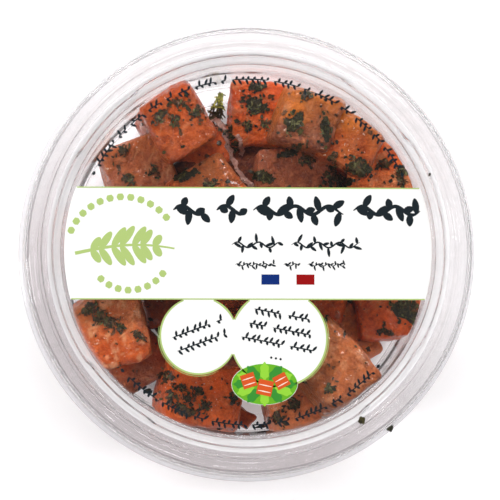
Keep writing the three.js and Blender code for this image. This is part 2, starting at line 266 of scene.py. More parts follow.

# %% [markdown]
# ## Clear plastic
# The tub and the lid are formed from one clear sheet. Its flat panel stays clear. Outside the
# panel the sheet was drawn hard in the mould, so it is greyer there, a little milky, and finely
# rippled, which makes its reflections run. Towards the near left that grey is darker, as
# painted shade, and the lid's flat steps are whitened as a painted reflection of the far lamp.
# A Principled shader with full transmission bends light as the sheet does, and a little
# Diffuse is mixed in for the milkiness and the painted reflection.
# A share of plain Alpha would be quicker, but its rings would have no dark and bright edges.
# Rays from lamps pass through a Transparent shader instead, because refracted light is slow
# to find and would leave the fish dark and noisy.


# %% Clear plastic finish
RIPPLE = 1.35
SHEET_GREY = (0.885, 0.875, 0.88, 1)
SHADED_GREY = (0.7, 0.67, 0.675, 1)
FLANGE_GREY = (0.8, 0.8, 0.82, 1)
HAZE_AND_REFLECTION_WHITE = (0.88, 0.88, 0.89, 1)
LAMP_PASS = (0.98, 0.975, 0.98, 1)


def clear_plastic(name, tint, ior, ripple_depth, step_painted_reflection):
    """The formed sheet: clear in the panel, and greyer, hazier and rippled outside it, darker there
    towards the near left as painted shade, and whitened on the flat steps as a painted reflection.
    """
    material, graph = new_material(name)
    x = graph.along(graph.place(), "X")
    y = graph.along(graph.place(), "Y")
    radius = graph.maths("POWER", x * x + y * y, 0.5)

    def zone(start, end):
        """0 before the first radius and 1 past the second, or the other way round."""
        return graph.steps(radius / MM, start, end)

    specks = graph.grain(1.6, detail=2)
    worked = zone(PANEL_RADIUS - 1, PANEL_RADIUS + 0.6)
    inner = zone(CROWN_OUTER + 0.3, CROWN_OUTER - 0.9)
    flange = zone(SKIRT_TOP + 0.2, SKIRT_TOP + 0.9)
    stepped = zone(PANEL_RADIUS + 0.3, PANEL_RADIUS + 0.6)
    stepped = stepped * zone(PANEL_RADIUS + 4.3, PANEL_RADIUS + 3.8)
    # Painted shade: the grey of the worked sheet darkens towards the near left.
    near_left = graph.steps((0.5 * x + 0.87 * y) / MM, 20, -50)
    grey = graph.mix(graph.mix(SHEET_GREY, SHADED_GREY, near_left), FLANGE_GREY, flange)
    ripples = graph.maths("SINE", radius * (2 * math.pi / (RIPPLE * MM)), 0)
    wavy = (0.03 + 0.22 * inner) * graph.grain(14, detail=1)
    relief = wavy + ripple_depth * worked * inner * ripples * graph.grain(9, detail=1)
    sheet = graph.node(
        "ShaderNodeBsdfPrincipled",
        {},
        {
            "Base Color": graph.mix(tint, grey, worked),
            "Roughness": 0.012 + 0.01 * specks + worked * (0.008 + 0.02 * specks),
            "IOR": ior,
            "Transmission Weight": 1.0,
            "Normal": graph.bump(relief, 1),
        },
    )
    milk_and_painted_reflection = graph.node("ShaderNodeBsdfDiffuse", {}, {"Color": HAZE_AND_REFLECTION_WHITE})
    upright = graph.along(graph.node("ShaderNodeNewGeometry", output=1), "Z")
    flat = graph.steps(upright * upright, 0.45, 0.75)
    # On the flat steps the white Diffuse is a painted reflection of the far lamp; elsewhere it is
    # milkiness.
    haze_and_painted_reflection = worked * (0.03 + 0.08 * specks) + step_painted_reflection * stepped * flat
    sheet = graph.node("ShaderNodeMixShader", {}, {0: haze_and_painted_reflection, 1: sheet, 2: milk_and_painted_reflection})
    lamp_way = graph.node("ShaderNodeBsdfTransparent", {}, {"Color": LAMP_PASS})
    shadow_ray = graph.node("ShaderNodeLightPath", output=1)
    graph.surface(graph.node("ShaderNodeMixShader", {}, {0: shadow_ray, 1: sheet, 2: lamp_way}))
    return material


# On the lid the last value whitens the flat steps, a painted reflection of the far lamp.
lid_plastic = clear_plastic("lid_clear_plastic", (0.95, 0.945, 0.95, 1), 1.36, 0.16, 0.4)
tub_plastic = clear_plastic("tub_clear_plastic", (0.95, 0.94, 0.945, 1), 1.2, 0.1, 0)
print("finishes:", lid_plastic.name, tub_plastic.name)

# %% [markdown]
# ## The tub
# A thermoformed tub is one thin sheet that turns about one axis: foot ring, wall, step and
# rolled rim. Its half section could be extruded ring by ring, but a spin of the section about
# the axis gives the whole wall at once. The corners of the section are rounded first, because
# a warm sheet can't be pressed to a sharp edge.


# %% A rounded half section, spun about the axis
def rounded(profile, radius):
    """The profile with each inner corner replaced by a short curve."""
    points = [Vector((r, 0, z)) for r, z in profile]
    path = [points[0]]
    for before, corner, after in zip(points, points[1:], points[2:]):
        into = before - corner
        out = after - corner
        start = corner + into.normalized() * min(radius, into.length * 0.45)
        end = corner + out.normalized() * min(radius, out.length * 0.45)
        for share in (0, 0.33, 0.67, 1):
            path.append(start.lerp(corner, share).lerp(corner.lerp(end, share), share))
    path.append(points[-1])
    return path


def spin_profile(name, profile, radius):
    """A closed wall from a half section that starts and ends on the axis, with round corners."""
    path = rounded(profile, radius)
    piece = new_piece(name, path, edges=[(i, i + 1) for i in range(len(path) - 1)])
    bpy.ops.object.mode_set(mode="EDIT")
    bpy.ops.mesh.select_all(action="SELECT")
    bpy.ops.mesh.spin(steps=ROUND_STEPS, angle=2 * math.pi, center=(0, 0, 0), axis=(0, 0, 1))
    bpy.ops.mesh.select_all(action="SELECT")
    bpy.ops.mesh.remove_doubles(threshold=0.002 * MM)
    bpy.ops.mesh.normals_make_consistent(inside=False)
    bpy.ops.object.mode_set(mode="OBJECT")
    bpy.ops.object.shade_smooth_by_angle(angle=math.radians(40))
    return piece


# %% Spin the tub
TUB_OUTER_FOOT = WALL_FOOT + TUB_WALL
TUB_OUTER_HEAD = WALL_HEAD + TUB_WALL
TUB_PROFILE = [
    (0, FLOOR_TOP),
    (FOOT_INNER - 0.4, FLOOR_TOP),
    (FOOT_INNER + 0.6, TUB_WALL + 0.2),
    (FOOT_OUTER - 0.6, TUB_WALL + 0.2),
    (WALL_FOOT, FLOOR_TOP + 0.1),
    (WALL_HEAD, WALL_HEAD_Z),
    (WALL_HEAD + 0.5, WALL_HEAD_Z + 0.6),
    (RIM_INNER - 0.3, RIM_TOP - 1),
    (RIM_INNER, RIM_TOP - 0.3),
    (RIM_INNER + 0.4, RIM_TOP),
    (RIM_OUTER - 0.3, RIM_TOP),
    (RIM_OUTER, RIM_TOP - 0.3),
    (RIM_OUTER, RIM_TOP - 1.9),
    (RIM_OUTER - 0.35, RIM_TOP - 1.9),
    (RIM_OUTER - 0.35, RIM_TOP - 0.4),
    (RIM_INNER + 0.5, RIM_TOP - 0.4),
    (RIM_INNER + 0.05, RIM_TOP - 1.2),
    (TUB_OUTER_HEAD + 0.35, WALL_HEAD_Z + 0.35),
    (TUB_OUTER_HEAD, WALL_HEAD_Z - 0.2),
    (TUB_OUTER_FOOT, FLOOR_TOP),
    (FOOT_OUTER + 0.4, 0.5),
    (FOOT_OUTER - 0.2, 0),
    (FOOT_INNER + 0.8, 0),
    (FOOT_INNER, 0.4),
    (FOOT_INNER - 0.6, FLOOR_TOP - TUB_WALL),
    (0, FLOOR_TOP - TUB_WALL),
]
tub = spin_profile("tub_sheet", TUB_PROFILE, 0.35)
finish_piece(tub, tub_plastic, "tub")

# %% [markdown]
# ## The lid
# The lid is spun in the same way: a sunken panel for the label, two steps up to the crown, and
# a skirt whose bead snaps under the tub's rim. Both steps rise a little outwards and catch the
# far lamp as fine bright rings, while their steep risers show as dark lines. The corners could
# be bevelled after the spin, but the section is easier to round while it is still a line. Four
# stacking lugs stop a pile of lids from jamming. On the real lid they are short stretches
# where the wall over the lower step stands further in, so here the same stretches of the spun
# wall are selected by their angle and moved towards the axis.

# %% Spin the lid
LID_PROFILE = [
    (0, PANEL_TOP),
    (PANEL_RADIUS, PANEL_TOP),
    (PANEL_RADIUS + 0.4, PANEL_TOP + 0.4),
    (PANEL_RADIUS + 0.65, LEDGE_TOP - 0.45),
    (PANEL_RADIUS + 0.95, LEDGE_TOP - 0.25),
    (PANEL_RADIUS + 2.5, LEDGE_TOP + 0.3),
    (PANEL_RADIUS + 2.85, STEP_TOP - 0.4),
    (PANEL_RADIUS + 3.0, STEP_TOP - 0.25),
    (PANEL_RADIUS + 3.85, STEP_TOP + 0.05),
    (CROWN_INNER - 0.45, STEP_TOP),
    (CROWN_INNER - 0.25, HEIGHT - 0.15),
    (CROWN_INNER + 0.1, HEIGHT),
    (CROWN_OUTER, HEIGHT),
    (SKIRT_TOP - 0.2, HEIGHT - 0.3),
    (SKIRT_TOP, HEIGHT - 0.8),
    (SKIRT_TOP + 0.7, SKIRT_FOOT),
    (LID_RADIUS - 0.7, SKIRT_FOOT - 0.5),
    (LID_RADIUS, SKIRT_FOOT - 0.7),
    (LID_RADIUS, SKIRT_FOOT - 1.2),
    (LID_RADIUS - 0.8, SKIRT_FOOT - 1),
    (SKIRT_TOP + 0.35, SKIRT_FOOT - 0.4),
    (SKIRT_TOP + 0.05, LOCK_BEAD - 1),
    (SKIRT_TOP - 0.8, LOCK_BEAD),
    (SKIRT_TOP - 0.3, LOCK_BEAD + 0.9),
    (RIM_OUTER + GAP, HEIGHT - 1),
    (RIM_OUTER, HEIGHT - LID_WALL),
    (CROWN_INNER + 0.15, HEIGHT - LID_WALL),
    (CROWN_INNER - 0.05, HEIGHT - LID_WALL - 0.2),
    (CROWN_INNER - 0.25, STEP_TOP - LID_WALL),
    (PANEL_RADIUS + 3.9, STEP_TOP + 0.05 - LID_WALL),
    (PANEL_RADIUS + 3.05, STEP_TOP - 0.25 - LID_WALL),
    (PANEL_RADIUS + 2.65, LEDGE_TOP + 0.3 - LID_WALL),
    (PANEL_RADIUS + 1.05, LEDGE_TOP - 0.25 - LID_WALL),
    (PANEL_RADIUS + 0.65, PANEL_TOP + 0.2),
    (PANEL_RADIUS + 0.2, PANEL_TOP - LID_WALL),
    (0, PANEL_TOP - LID_WALL),
]
lid = spin_profile("lid_sheet", LID_PROFILE, 0.3)


# %% Press the stacking lugs into the lid
def in_lug(angle):
    """True where a lug lies, for an angle in degrees from +X."""
    middle_gap = (angle - LUG_FIRST + 180 / LUGS) % (360 / LUGS) - 180 / LUGS
    return abs(middle_gap) < LUG_SPREAD / 2


def press_lugs(piece):
    """Moves the wall over the lower step inwards along each lug."""
    low_radius = PANEL_RADIUS + 2
    high_radius = PANEL_RADIUS + 3.6
    bpy.ops.object.mode_set(mode="EDIT")
    bpy.ops.mesh.select_all(action="DESELECT")
    shape = bmesh.from_edit_mesh(piece.data)
    chosen = 0
    for vertex in shape.verts:
        radius = math.hypot(vertex.co.x, vertex.co.y) / MM
        angle = math.degrees(math.atan2(vertex.co.y, vertex.co.x))
        on_top = vertex.co.z / MM > LEDGE_TOP - 0.1
        if low_radius < radius < high_radius and on_top and in_lug(angle):
            vertex.select_set(True)
            chosen += 1
    shape.select_flush_mode()
    bmesh.update_edit_mesh(piece.data)
    share = 1 - LUG_INWARD / (PANEL_RADIUS + 3)
    bpy.ops.transform.resize(value=(share, share, 1), center_override=(0, 0, 0))
    bpy.ops.object.mode_set(mode="OBJECT")
    print("lug vertices moved:", chosen)


take(lid)
press_lugs(lid)
finish_piece(lid, lid_plastic, "lid")

# %% [markdown]
# ## The label
# The label is a white sheet on the panel: a band from side to side, two round fields below it,
# and a small garnish picture. A sheet this plain could be drawn as one outline, but a union of
# simple solids is easier to change: a cylinder bisected at the band's two edges, a cylinder
# for each field, and an oval one for the picture.

# %% Union of the label's fields
LABEL_THICKNESS = 0.25
LABEL_TOP = PANEL_TOP + LABEL_THICKNESS
LABEL_RADIUS = 47.2
BAND_TOP = 16.5
BAND_BOTTOM = -12.4
SMALL_FIELD = (-12.8, -21.6, 10.0)
LARGE_FIELD = (7.8, -22.3, 12.5)
PICTURE = (4.1, -34.0, 17.0, 10.6)


def add_field(name, x, y, radius, steps):
    """A thin round field of the label."""
    start_clean()
    bpy.ops.mesh.primitive_cylinder_add(
        vertices=steps,
        radius=radius * MM,
        depth=LABEL_THICKNESS * MM,
        location=(x * MM, y * MM, (PANEL_TOP + LABEL_THICKNESS / 2) * MM),
    )
    bpy.ops.object.transform_apply(location=True, rotation=True, scale=True)
    field = bpy.context.object
    field.name = name
    return field


def make_label():
    sheet = add_field("label_sheet", 0, 0, LABEL_RADIUS, 192)
    bpy.ops.object.mode_set(mode="EDIT")
    for level, side in ((BAND_TOP, 1), (BAND_BOTTOM, -1)):
        bpy.ops.mesh.select_all(action="SELECT")
        bpy.ops.mesh.bisect(
            plane_co=(0, level * MM, 0),
            plane_no=(0, side, 0),
            use_fill=True,
            clear_outer=True,
        )
    bpy.ops.object.mode_set(mode="OBJECT")
    x, y, width, height = PICTURE
    picture = add_field("picture_field", 0, 0, width / 2, 96)
    take(picture)
    bpy.ops.object.mode_set(mode="EDIT")
    bpy.ops.mesh.select_all(action="SELECT")
    bpy.ops.transform.resize(value=(1, height / width, 1), center_override=(0, 0, 0))
    bpy.ops.transform.translate(value=(x * MM, y * MM, 0))
    bpy.ops.object.mode_set(mode="OBJECT")
    fields = [picture, add_field("small", *SMALL_FIELD, 128), add_field("large", *LARGE_FIELD, 144)]
    for field in fields:
        union = sheet.modifiers.new("union", "BOOLEAN")
        union.operation = "UNION"
        union.solver = "EXACT"
        union.object = field
        apply_all(sheet)
        bpy.data.objects.remove(field)
    return sheet


# %% Print finish, and the white of the label
def print_finish(name, ink, roughness, mottling=0.03, shine=0.15):
    """Smooth printed film: almost even colour, with a faint unevenness of the ink."""
    material, graph = new_material(name)
    cloud = graph.grain(9, detail=2)
    fine = graph.grain(0.5, detail=2)
    duller = tuple(level * (1 - mottling) for level in ink[:3]) + (1.0,)
    graph.surface(
        graph.node(
            "ShaderNodeBsdfPrincipled",
            {},
            {
                "Base Color": graph.mix(ink, duller, cloud),
                "Roughness": roughness + 0.1 * cloud,
                "Specular IOR Level": shine,
                "Normal": graph.bump(fine, 0.01),
            },
        )
    )
    return material


label = make_label()
bpy.ops.object.shade_smooth_by_angle(angle=math.radians(30))
finish_piece(label, print_finish("label_white", colour(250, 250, 248), 0.35), "label")

# %% [markdown]
# ## The print
# The label is printed in a few plain inks: large and small garlands of stem and leaves, a
# sprig between two arcs of dots, a field of blue and one of red, and dice on a rosette of
# leaves. Each ink is one piece. Its shapes are flat strips and filled outlines, given a hair's
# thickness by Solidify. A painted pattern in the shader would need no mesh, but it would be
# hard to place, and real mesh stays sharp from any distance.

# %% Strips and spots of one ink
PRINT_THICKNESS = 0.03
PRINT_GAP = 0.42
ON_SHEET = LABEL_TOP + 0.004
ON_PANEL = PANEL_TOP + 0.004


class Ink:
    """Flat shapes that are printed in one ink."""

    def __init__(self, name):
        self.name = name
        self.points = []
        self.faces = []

    def strip(self, path, widths, level):
        """A strip along a path of (x, y), with its own width at each point."""
        first = len(self.points)
        for i, (x, y) in enumerate(path):
            x0, y0 = path[max(i - 1, 0)]
            x1, y1 = path[min(i + 1, len(path) - 1)]
            along = math.hypot(x1 - x0, y1 - y0)
            side_x = -(y1 - y0) / along * widths[i] / 2
            side_y = (x1 - x0) / along * widths[i] / 2
            self.points += [(x + side_x, y + side_y, level), (x - side_x, y - side_y, level)]
        for i in range(first, len(self.points) - 2, 2):
            self.faces.append((i, i + 1, i + 3, i + 2))

    def spot(self, outline, level):
        """A filled outline that runs anticlockwise."""
        first = len(self.points)
        self.points += [(x, y, level) for x, y in outline]
        self.faces.append(tuple(range(first, len(self.points))))

    def piece(self, material):
        made = new_piece(self.name, self.points, faces=self.faces)
        thick = made.modifiers.new("thickness", "SOLIDIFY")
        thick.thickness = PRINT_THICKNESS * MM
        thick.offset = 1
        apply_all(made)
        finish_piece(made, material)


# %% Arcs, lines and ovals
def round_ends(count, width):
    """Widths along a stroke that starts and ends round."""
    shares = [i / (count - 1) for i in range(count)]
    return [width * min(1, 0.25 + 6 * min(share, 1 - share)) for share in shares]


def arc_path(x, y, radius, start, end, count):
    """Points on an arc, from one angle to another in degrees."""
    angles = [math.radians(start + (end - start) * i / (count - 1)) for i in range(count)]
    return [(x + radius * math.cos(angle), y + radius * math.sin(angle)) for angle in angles]


def oval(x, y, width, height, turn=0, lobes=0, depth=0, count=28):
    """An outline that is oval, or lobed like a leaf's edge."""
    outline = []
    for i in range(count):
        angle = 2 * math.pi * i / count
        reach = 1 + depth * math.cos(lobes * angle)
        along = width / 2 * reach * math.cos(angle)
        across = height / 2 * reach * math.sin(angle)
        c, s = math.cos(math.radians(turn)), math.sin(math.radians(turn))
        outline.append((x + along * c - across * s, y + along * s + across * c))
    return outline


def line_path(x, y, turn, start, end, wave=0):
    """Points on a line through x, y, from one distance to another, with an even wave."""
    c, s = math.cos(math.radians(turn)), math.sin(math.radians(turn))
    count = max(6, int((end - start) * 4))
    path = []
    for i in range(count + 1):
        along = start + (end - start) * i / count
        across = wave * math.sin(0.8 * (along - start) / wave) if wave else 0
        path.append((x + along * c - across * s, y + along * s + across * c))
    return path


# %% Dots and garlands
def dots_on_arc(ink, x, y, radius, start, end, lengths, width, level):
    """Round dots with even gaps, which fill an arc from start to end."""
    total = sum(lengths) + PRINT_GAP * (len(lengths) - 1)
    place = 0
    for length in lengths:
        a = start + (end - start) * place / total
        b = start + (end - start) * (place + length) / total
        count = max(6, int(length * 5))
        ink.strip(arc_path(x, y, radius, a, b, count), round_ends(count, width), level)
        place += length + PRINT_GAP


def garland(ink, path, reach, width, level):
    """A stem along a path, with slanted leaves on both sides in turn."""
    steps = [math.dist(a, b) for a, b in zip(path, path[1:])]
    ink.strip(path, round_ends(len(path), width * 0.5), level)
    leaves = max(2, round(sum(steps) / (reach * 0.55)))
    for i in range(leaves):
        place = (i + 0.5) / leaves * len(steps)
        near, far = path[int(place)], path[int(place) + 1]
        foot = (near[0] + far[0]) / 2, (near[1] + far[1]) / 2
        side = 1 if i % 2 else -1
        size = reach * (0.85 + 0.25 * math.sin(2.3 * i + near[0]))
        slant = math.radians(62 + 12 * math.sin(1.7 * i))
        way = math.atan2(far[1] - near[1], far[0] - near[0]) + side * slant
        ax, ay = size * math.cos(way), size * math.sin(way)
        leaf = [(foot[0] + ax * t, foot[1] + ay * t) for t in (0, 0.2, 0.45, 0.7, 0.9, 1)]
        widths = [width * share for share in (0.35, 0.8, 1, 0.85, 0.5, 0.15)]
        ink.strip(leaf, widths, level + 0.001 + 0.0004 * i)


def garlands_on_arc(ink, radius, start, end, lengths, level):
    """Small garlands with even gaps, which fill an arc of the panel from start to end."""
    total = sum(lengths) + PRINT_GAP * (len(lengths) - 1)
    place = 0
    for length in lengths:
        a = start + (end - start) * place / total
        b = start + (end - start) * (place + length) / total
        count = max(4, int(length * 8))
        path = arc_path(0, 0, radius, a, b, count)
        if length < 0.35:
            ink.strip(path, round_ends(count, 0.8), level)
        else:
            garland(ink, path, SMALL_REACH, SMALL_LEAF, level)
        place += length + PRINT_GAP


# %% Slate ink: garlands on the band, in the round fields and round the panel
SMALL_REACH = 1.45
SMALL_LEAF = 0.66
slate = Ink("print_slate")
for x0, x1 in ((-19.3, -11.2), (-8.2, -1.4), (1.2, 24.4), (27, 44.2)):
    garland(slate, line_path(0, 10.6, 0, x0, x1, 1.1), 3.7, 1.9, ON_SHEET)
for x0, x1 in ((-4.3, 8.2), (11, 28.6)):
    garland(slate, line_path(0, 1.7, 0, x0, x1, 0.7), 2.3, 0.8, ON_SHEET)
for x0, x1 in ((-3.4, 6.8), (9, 13), (15.2, 25)):
    garland(slate, line_path(0, -3.4, 0, x0, x1, 0.3), 1.3, 0.48, ON_SHEET)
x, y, _ = SMALL_FIELD
for rise, start, end in ((2, -7.4, 2.8), (2, 4.6, 6.2), (-2.1, -5.6, 5.8), (-2.1, 7, 7.4)):
    path = line_path(x + 0.1 * rise, y + rise, 20, start, end)
    garland(slate, path, SMALL_REACH, SMALL_LEAF, ON_SHEET)
x, y, _ = LARGE_FIELD
LARGE_FIELD_ROWS = (
    (6.2, -7.4, -0.4),
    (6.2, 1.4, 7),
    (2.4, -8.2, -3.8),
    (2.4, -2, 8),
    (-1.4, -9.6, 1.2),
    (-1.4, 3, 9.4),
)
for rise, start, end in LARGE_FIELD_ROWS:
    path = line_path(x + 0.15 * rise, y + rise, -11, start, end)
    garland(slate, path, SMALL_REACH, SMALL_LEAF, ON_SHEET)
for i in range(3):
    slate.spot(oval(x - 2 + 1.2 * i, y - 4.9 - 0.2 * i, 0.6, 0.6, count=12), ON_SHEET)
GARLAND_RADIUS = 44.4
TOP_GARLANDS = (0.3, 2.1, 0.8, 1.2, 1.1, 0.5, 0.9, 1.5, 0.35)
TOP_GARLANDS += (2.6, 1.8, 0.4, 1.7, 0.9, 1.3, 0.8, 1.8, 0.3)
LOW_GARLANDS = (0.3, 2.4, 1.9, 0.8, 2.3, 1.3, 0.8, 2.2, 0.8, 2.3, 0.3)
garlands_on_arc(slate, GARLAND_RADIUS, 154, 26, TOP_GARLANDS, ON_PANEL)
garlands_on_arc(slate, GARLAND_RADIUS, 222.7, 319.3, LOW_GARLANDS, ON_PANEL)
slate.piece(print_finish("ink_slate", colour(24, 34, 40), 0.4))

# %% [markdown]
# The green ink edges the band and the two fields, and draws the sprig with its dots. The
# fields' rings stop where one field meets the other or the band, at angles worked out from
# their circles. A Boolean could trim whole rings, but it is slow on such thin strips.


# %% Green ink: edges, sprig and dots
def crossing_angle(radius, distance):
    """Half the angle that a straight edge at this distance cuts off a circle, in degrees."""
    return math.degrees(math.asin(distance / radius))


def meeting(first, second):
    """Angles on the first circle, in degrees, where the second one crosses it."""
    dx, dy = second[0] - first[0], second[1] - first[1]
    distance = math.hypot(dx, dy)
    along = (first[2] ** 2 - second[2] ** 2 + distance**2) / (2 * distance)
    towards = math.degrees(math.atan2(dy, dx))
    spread = math.degrees(math.acos(along / first[2]))
    return towards - spread, towards + spread


green = Ink("print_green")
EDGE_WIDTH = 0.32
for level, inward in ((BAND_TOP, -1), (BAND_BOTTOM, 1)):
    y = level + inward * EDGE_WIDTH / 2
    half = math.sqrt(LABEL_RADIUS**2 - level**2) - 0.2
    path = [(-half + 2 * half * i / 40, y) for i in range(41)]
    green.strip(path, [EDGE_WIDTH] * 41, ON_SHEET)
FIELD_EDGE = 0.36
small_low, small_high = meeting(SMALL_FIELD, LARGE_FIELD)
large_low, large_high = meeting(LARGE_FIELD, SMALL_FIELD)
small_band = crossing_angle(SMALL_FIELD[2], BAND_BOTTOM - SMALL_FIELD[1])
large_band = crossing_angle(LARGE_FIELD[2], BAND_BOTTOM - LARGE_FIELD[1])
RINGS = (
    (SMALL_FIELD, small_high, small_band),
    (SMALL_FIELD, 180 - small_band, 360 + small_low),
    (LARGE_FIELD, 180 - large_band, large_low),
    (LARGE_FIELD, large_high, 360 + large_band),
)
for (x, y, radius), start, end in RINGS:
    count = max(8, int(abs(end - start) / 3))
    ring = arc_path(x, y, radius - FIELD_EDGE / 2, start, end, count)
    widths = [FIELD_EDGE * (1 + 0.4 * math.sin(math.pi * i / (count - 1))) for i in range(count)]
    green.strip(ring, widths, ON_SHEET)
x, y, radius = SMALL_FIELD
green.strip(arc_path(x, y, radius + 0.35, 165, 300, 46), round_ends(46, 0.16), ON_PANEL)
x, y, radius = LARGE_FIELD
green.strip(arc_path(x, y, radius + 0.35, 300, 385, 30), round_ends(30, 0.16), ON_PANEL)

SPRIG_LEAVES = 7
stem = [(-44.4 + 25.4 * i / 24, -0.6 + 2.2 * math.sin(math.pi * i / 30)) for i in range(25)]
green.strip(stem, [0.9 - 0.02 * i for i in range(25)], ON_SHEET)
for i in range(SPRIG_LEAVES):
    x, y = stem[4 + 5 * i // 2]
    reach = 6.2 * math.sin(math.pi * (i + 2.2) / (SPRIG_LEAVES + 3))
    for side in (1, -1):
        tip_x = x + 0.55 * reach
        tip_y = y + side * 0.8 * reach
        turn = math.degrees(math.atan2(tip_y - y, tip_x - x))
        leaf = oval((x + tip_x) / 2, (y + tip_y) / 2, reach, 2.0, turn, count=20)
        green.spot(leaf, ON_SHEET + (0.001 if side > 0 else 0.002) + 0.0004 * i)
dots_on_arc(green, -32.2, -0.5, 14.4, 160, 36, (0.9,) * 12, 1.7, ON_SHEET)
dots_on_arc(green, -30.5, 0.6, 10.6, 222, 328, (0.9,) * 8, 1.7, ON_SHEET)
green.piece(print_finish("ink_light_green", colour(178, 202, 122), 0.4))

# %% [markdown]
# On the band, below its garlands, stand two small fields of blue and red. The oval under the
# larger round field holds a rosette of leaves with a few orange dice on it. The leaves are
# ovals with a waved edge, each a hair higher than the last, so that no two share a level.

# %% Blue, red, leaf and dice inks
BLOCK_Y = (-8.5, -5.9)


def block(x0, x1):
    return [(x0, BLOCK_Y[0]), (x1, BLOCK_Y[0]), (x1, BLOCK_Y[1]), (x0, BLOCK_Y[1])]


blue = Ink("print_blue")
blue.spot(block(3.3, 7.9), ON_SHEET)
blue.piece(print_finish("ink_blue", colour(8, 44, 116), 0.4))
red = Ink("print_red")
red.spot(block(12.3, 16.9), ON_SHEET)
red.piece(print_finish("ink_red", colour(152, 8, 10), 0.4))

leaf_ink = Ink("print_leaf")
dark_leaf_ink = Ink("print_dark_leaf")
fresh_leaf_ink = Ink("print_fresh_leaf")
dice_ink = Ink("print_dice")
pale_ink = Ink("print_pale")
x, y, width, height = PICTURE
leaf_ink.spot(oval(x, y, width - 0.2, height - 0.2, count=72), ON_SHEET)
for i in range(12):
    angle = 2 * math.pi * i / 12
    lobe_x = x + width * 0.33 * math.cos(angle)
    lobe_y = y + height * 0.31 * math.sin(angle)
    turn = math.degrees(math.atan2(height * math.sin(angle), width * math.cos(angle)))
    lobe = oval(lobe_x, lobe_y, 4.4, 2.3, turn, 6, 0.1, 48)
    ink = fresh_leaf_ink if i % 2 else dark_leaf_ink
    ink.spot(lobe, ON_SHEET + 0.034 + 0.002 * i)
PRINTED_DICE = ((-4.1, 0.9, 18, 3.6), (0.1, -0.9, -12, 3.9), (4.3, 0.8, 28, 3.5))
for i, (dx, dy, turn, size) in enumerate(PRINTED_DICE):
    level = ON_SHEET + 0.085 + 0.003 * i
    c, s = math.cos(math.radians(turn)), math.sin(math.radians(turn))
    square = []
    for px, py in ((-1, -1), (1, -1), (1, 1), (-1, 1)):
        px, py = px * size / 2, py * size / 2
        square.append((x + dx + px * c - py * s, y + dy + px * s + py * c))
    dice_ink.spot(square, level)
    for shift in (-0.25, 0.15):
        bar = []
        for t in (-0.42, 0, 0.42):
            bar.append((x + dx + size * (t * c - shift * s), y + dy + size * (t * s + shift * c)))
        pale_ink.strip(bar, [0.12, 0.3, 0.12], level + 0.035)
leaf_ink.piece(print_finish("ink_leaf", colour(112, 190, 42), 0.4, 0.25))
dark_leaf_ink.piece(print_finish("ink_dark_leaf", colour(58, 146, 52), 0.4))
fresh_leaf_ink.piece(print_finish("ink_fresh_leaf", colour(150, 214, 62), 0.4))
dice_ink.piece(print_finish("ink_dice", colour(224, 92, 40), 0.4, 0.2))
pale_ink.piece(print_finish("ink_pale", colour(250, 232, 214), 0.4))

# %% [markdown]
# ## The salmon dice
# Each die is a block cut from a cured side of salmon, so it starts as a cube at its size. Its
# corners are moved off the square, its edges are bevelled, and two subdivisions soften it as
# raw flesh is soft. A voxel remesh then gives even small faces, into which the flesh's own
# relief is moved: broad unevenness, and shallow grooves where its muscle sheets part. The
# groove's depth is kept as an attribute, so that the pale fat can be coloured in the same
# lines. A colour attribute gives each die its tone: that of its piece of fish, partly painted
# shade where one half is darker, and painted light where a low die is made lighter.

# %% Where the dice lie
# x, y and foot in millimetres, width, depth and height, turn about Z and lean about X and Y in
# degrees, the tones of the die's far and near halves, the darker of which is partly painted
# shade, and how fat it is
UPPER_DICE = [
    (-17.7, 34, 16.8, 15.3, 16.4, 15, 30, 5.5, -6.5, "bright", "orange", 0.15),
    (15.7, 34.8, 17.2, 15.5, 14.8, 15, -15, 3, 2, "amber", "mauve", 0.3),
    (27.6, 29.5, 14.8, 14.5, 12.8, 14, -30, 3, 4, "amber", "orange", 0.3),
    (-34.6, -19.8, 14.2, 18.2, 17.5, 15, 16, 4, -3, "pale", "bright", 1.3),
    (21.6, -29.2, 14.6, 16.5, 20.7, 15, 37, -7, 5, "pale", "brown", 0.7),
    (-26, 1.5, 14.8, 15, 15.5, 14, 12, -4, 3, "orange", "brown", 0.3),
    (-6.5, -1, 16.4, 16, 14.5, 14.5, -20, 3, 5, "reddish", "orange", 0.3),
    (12.5, 5.5, 16.8, 15, 16, 14, 34, -4, -3, "orange", "reddish", 0.3),
    (-1.5, -21.5, 16.2, 15.5, 15, 14, 8, 4, 4, "orange", "reddish", 0.3),
]
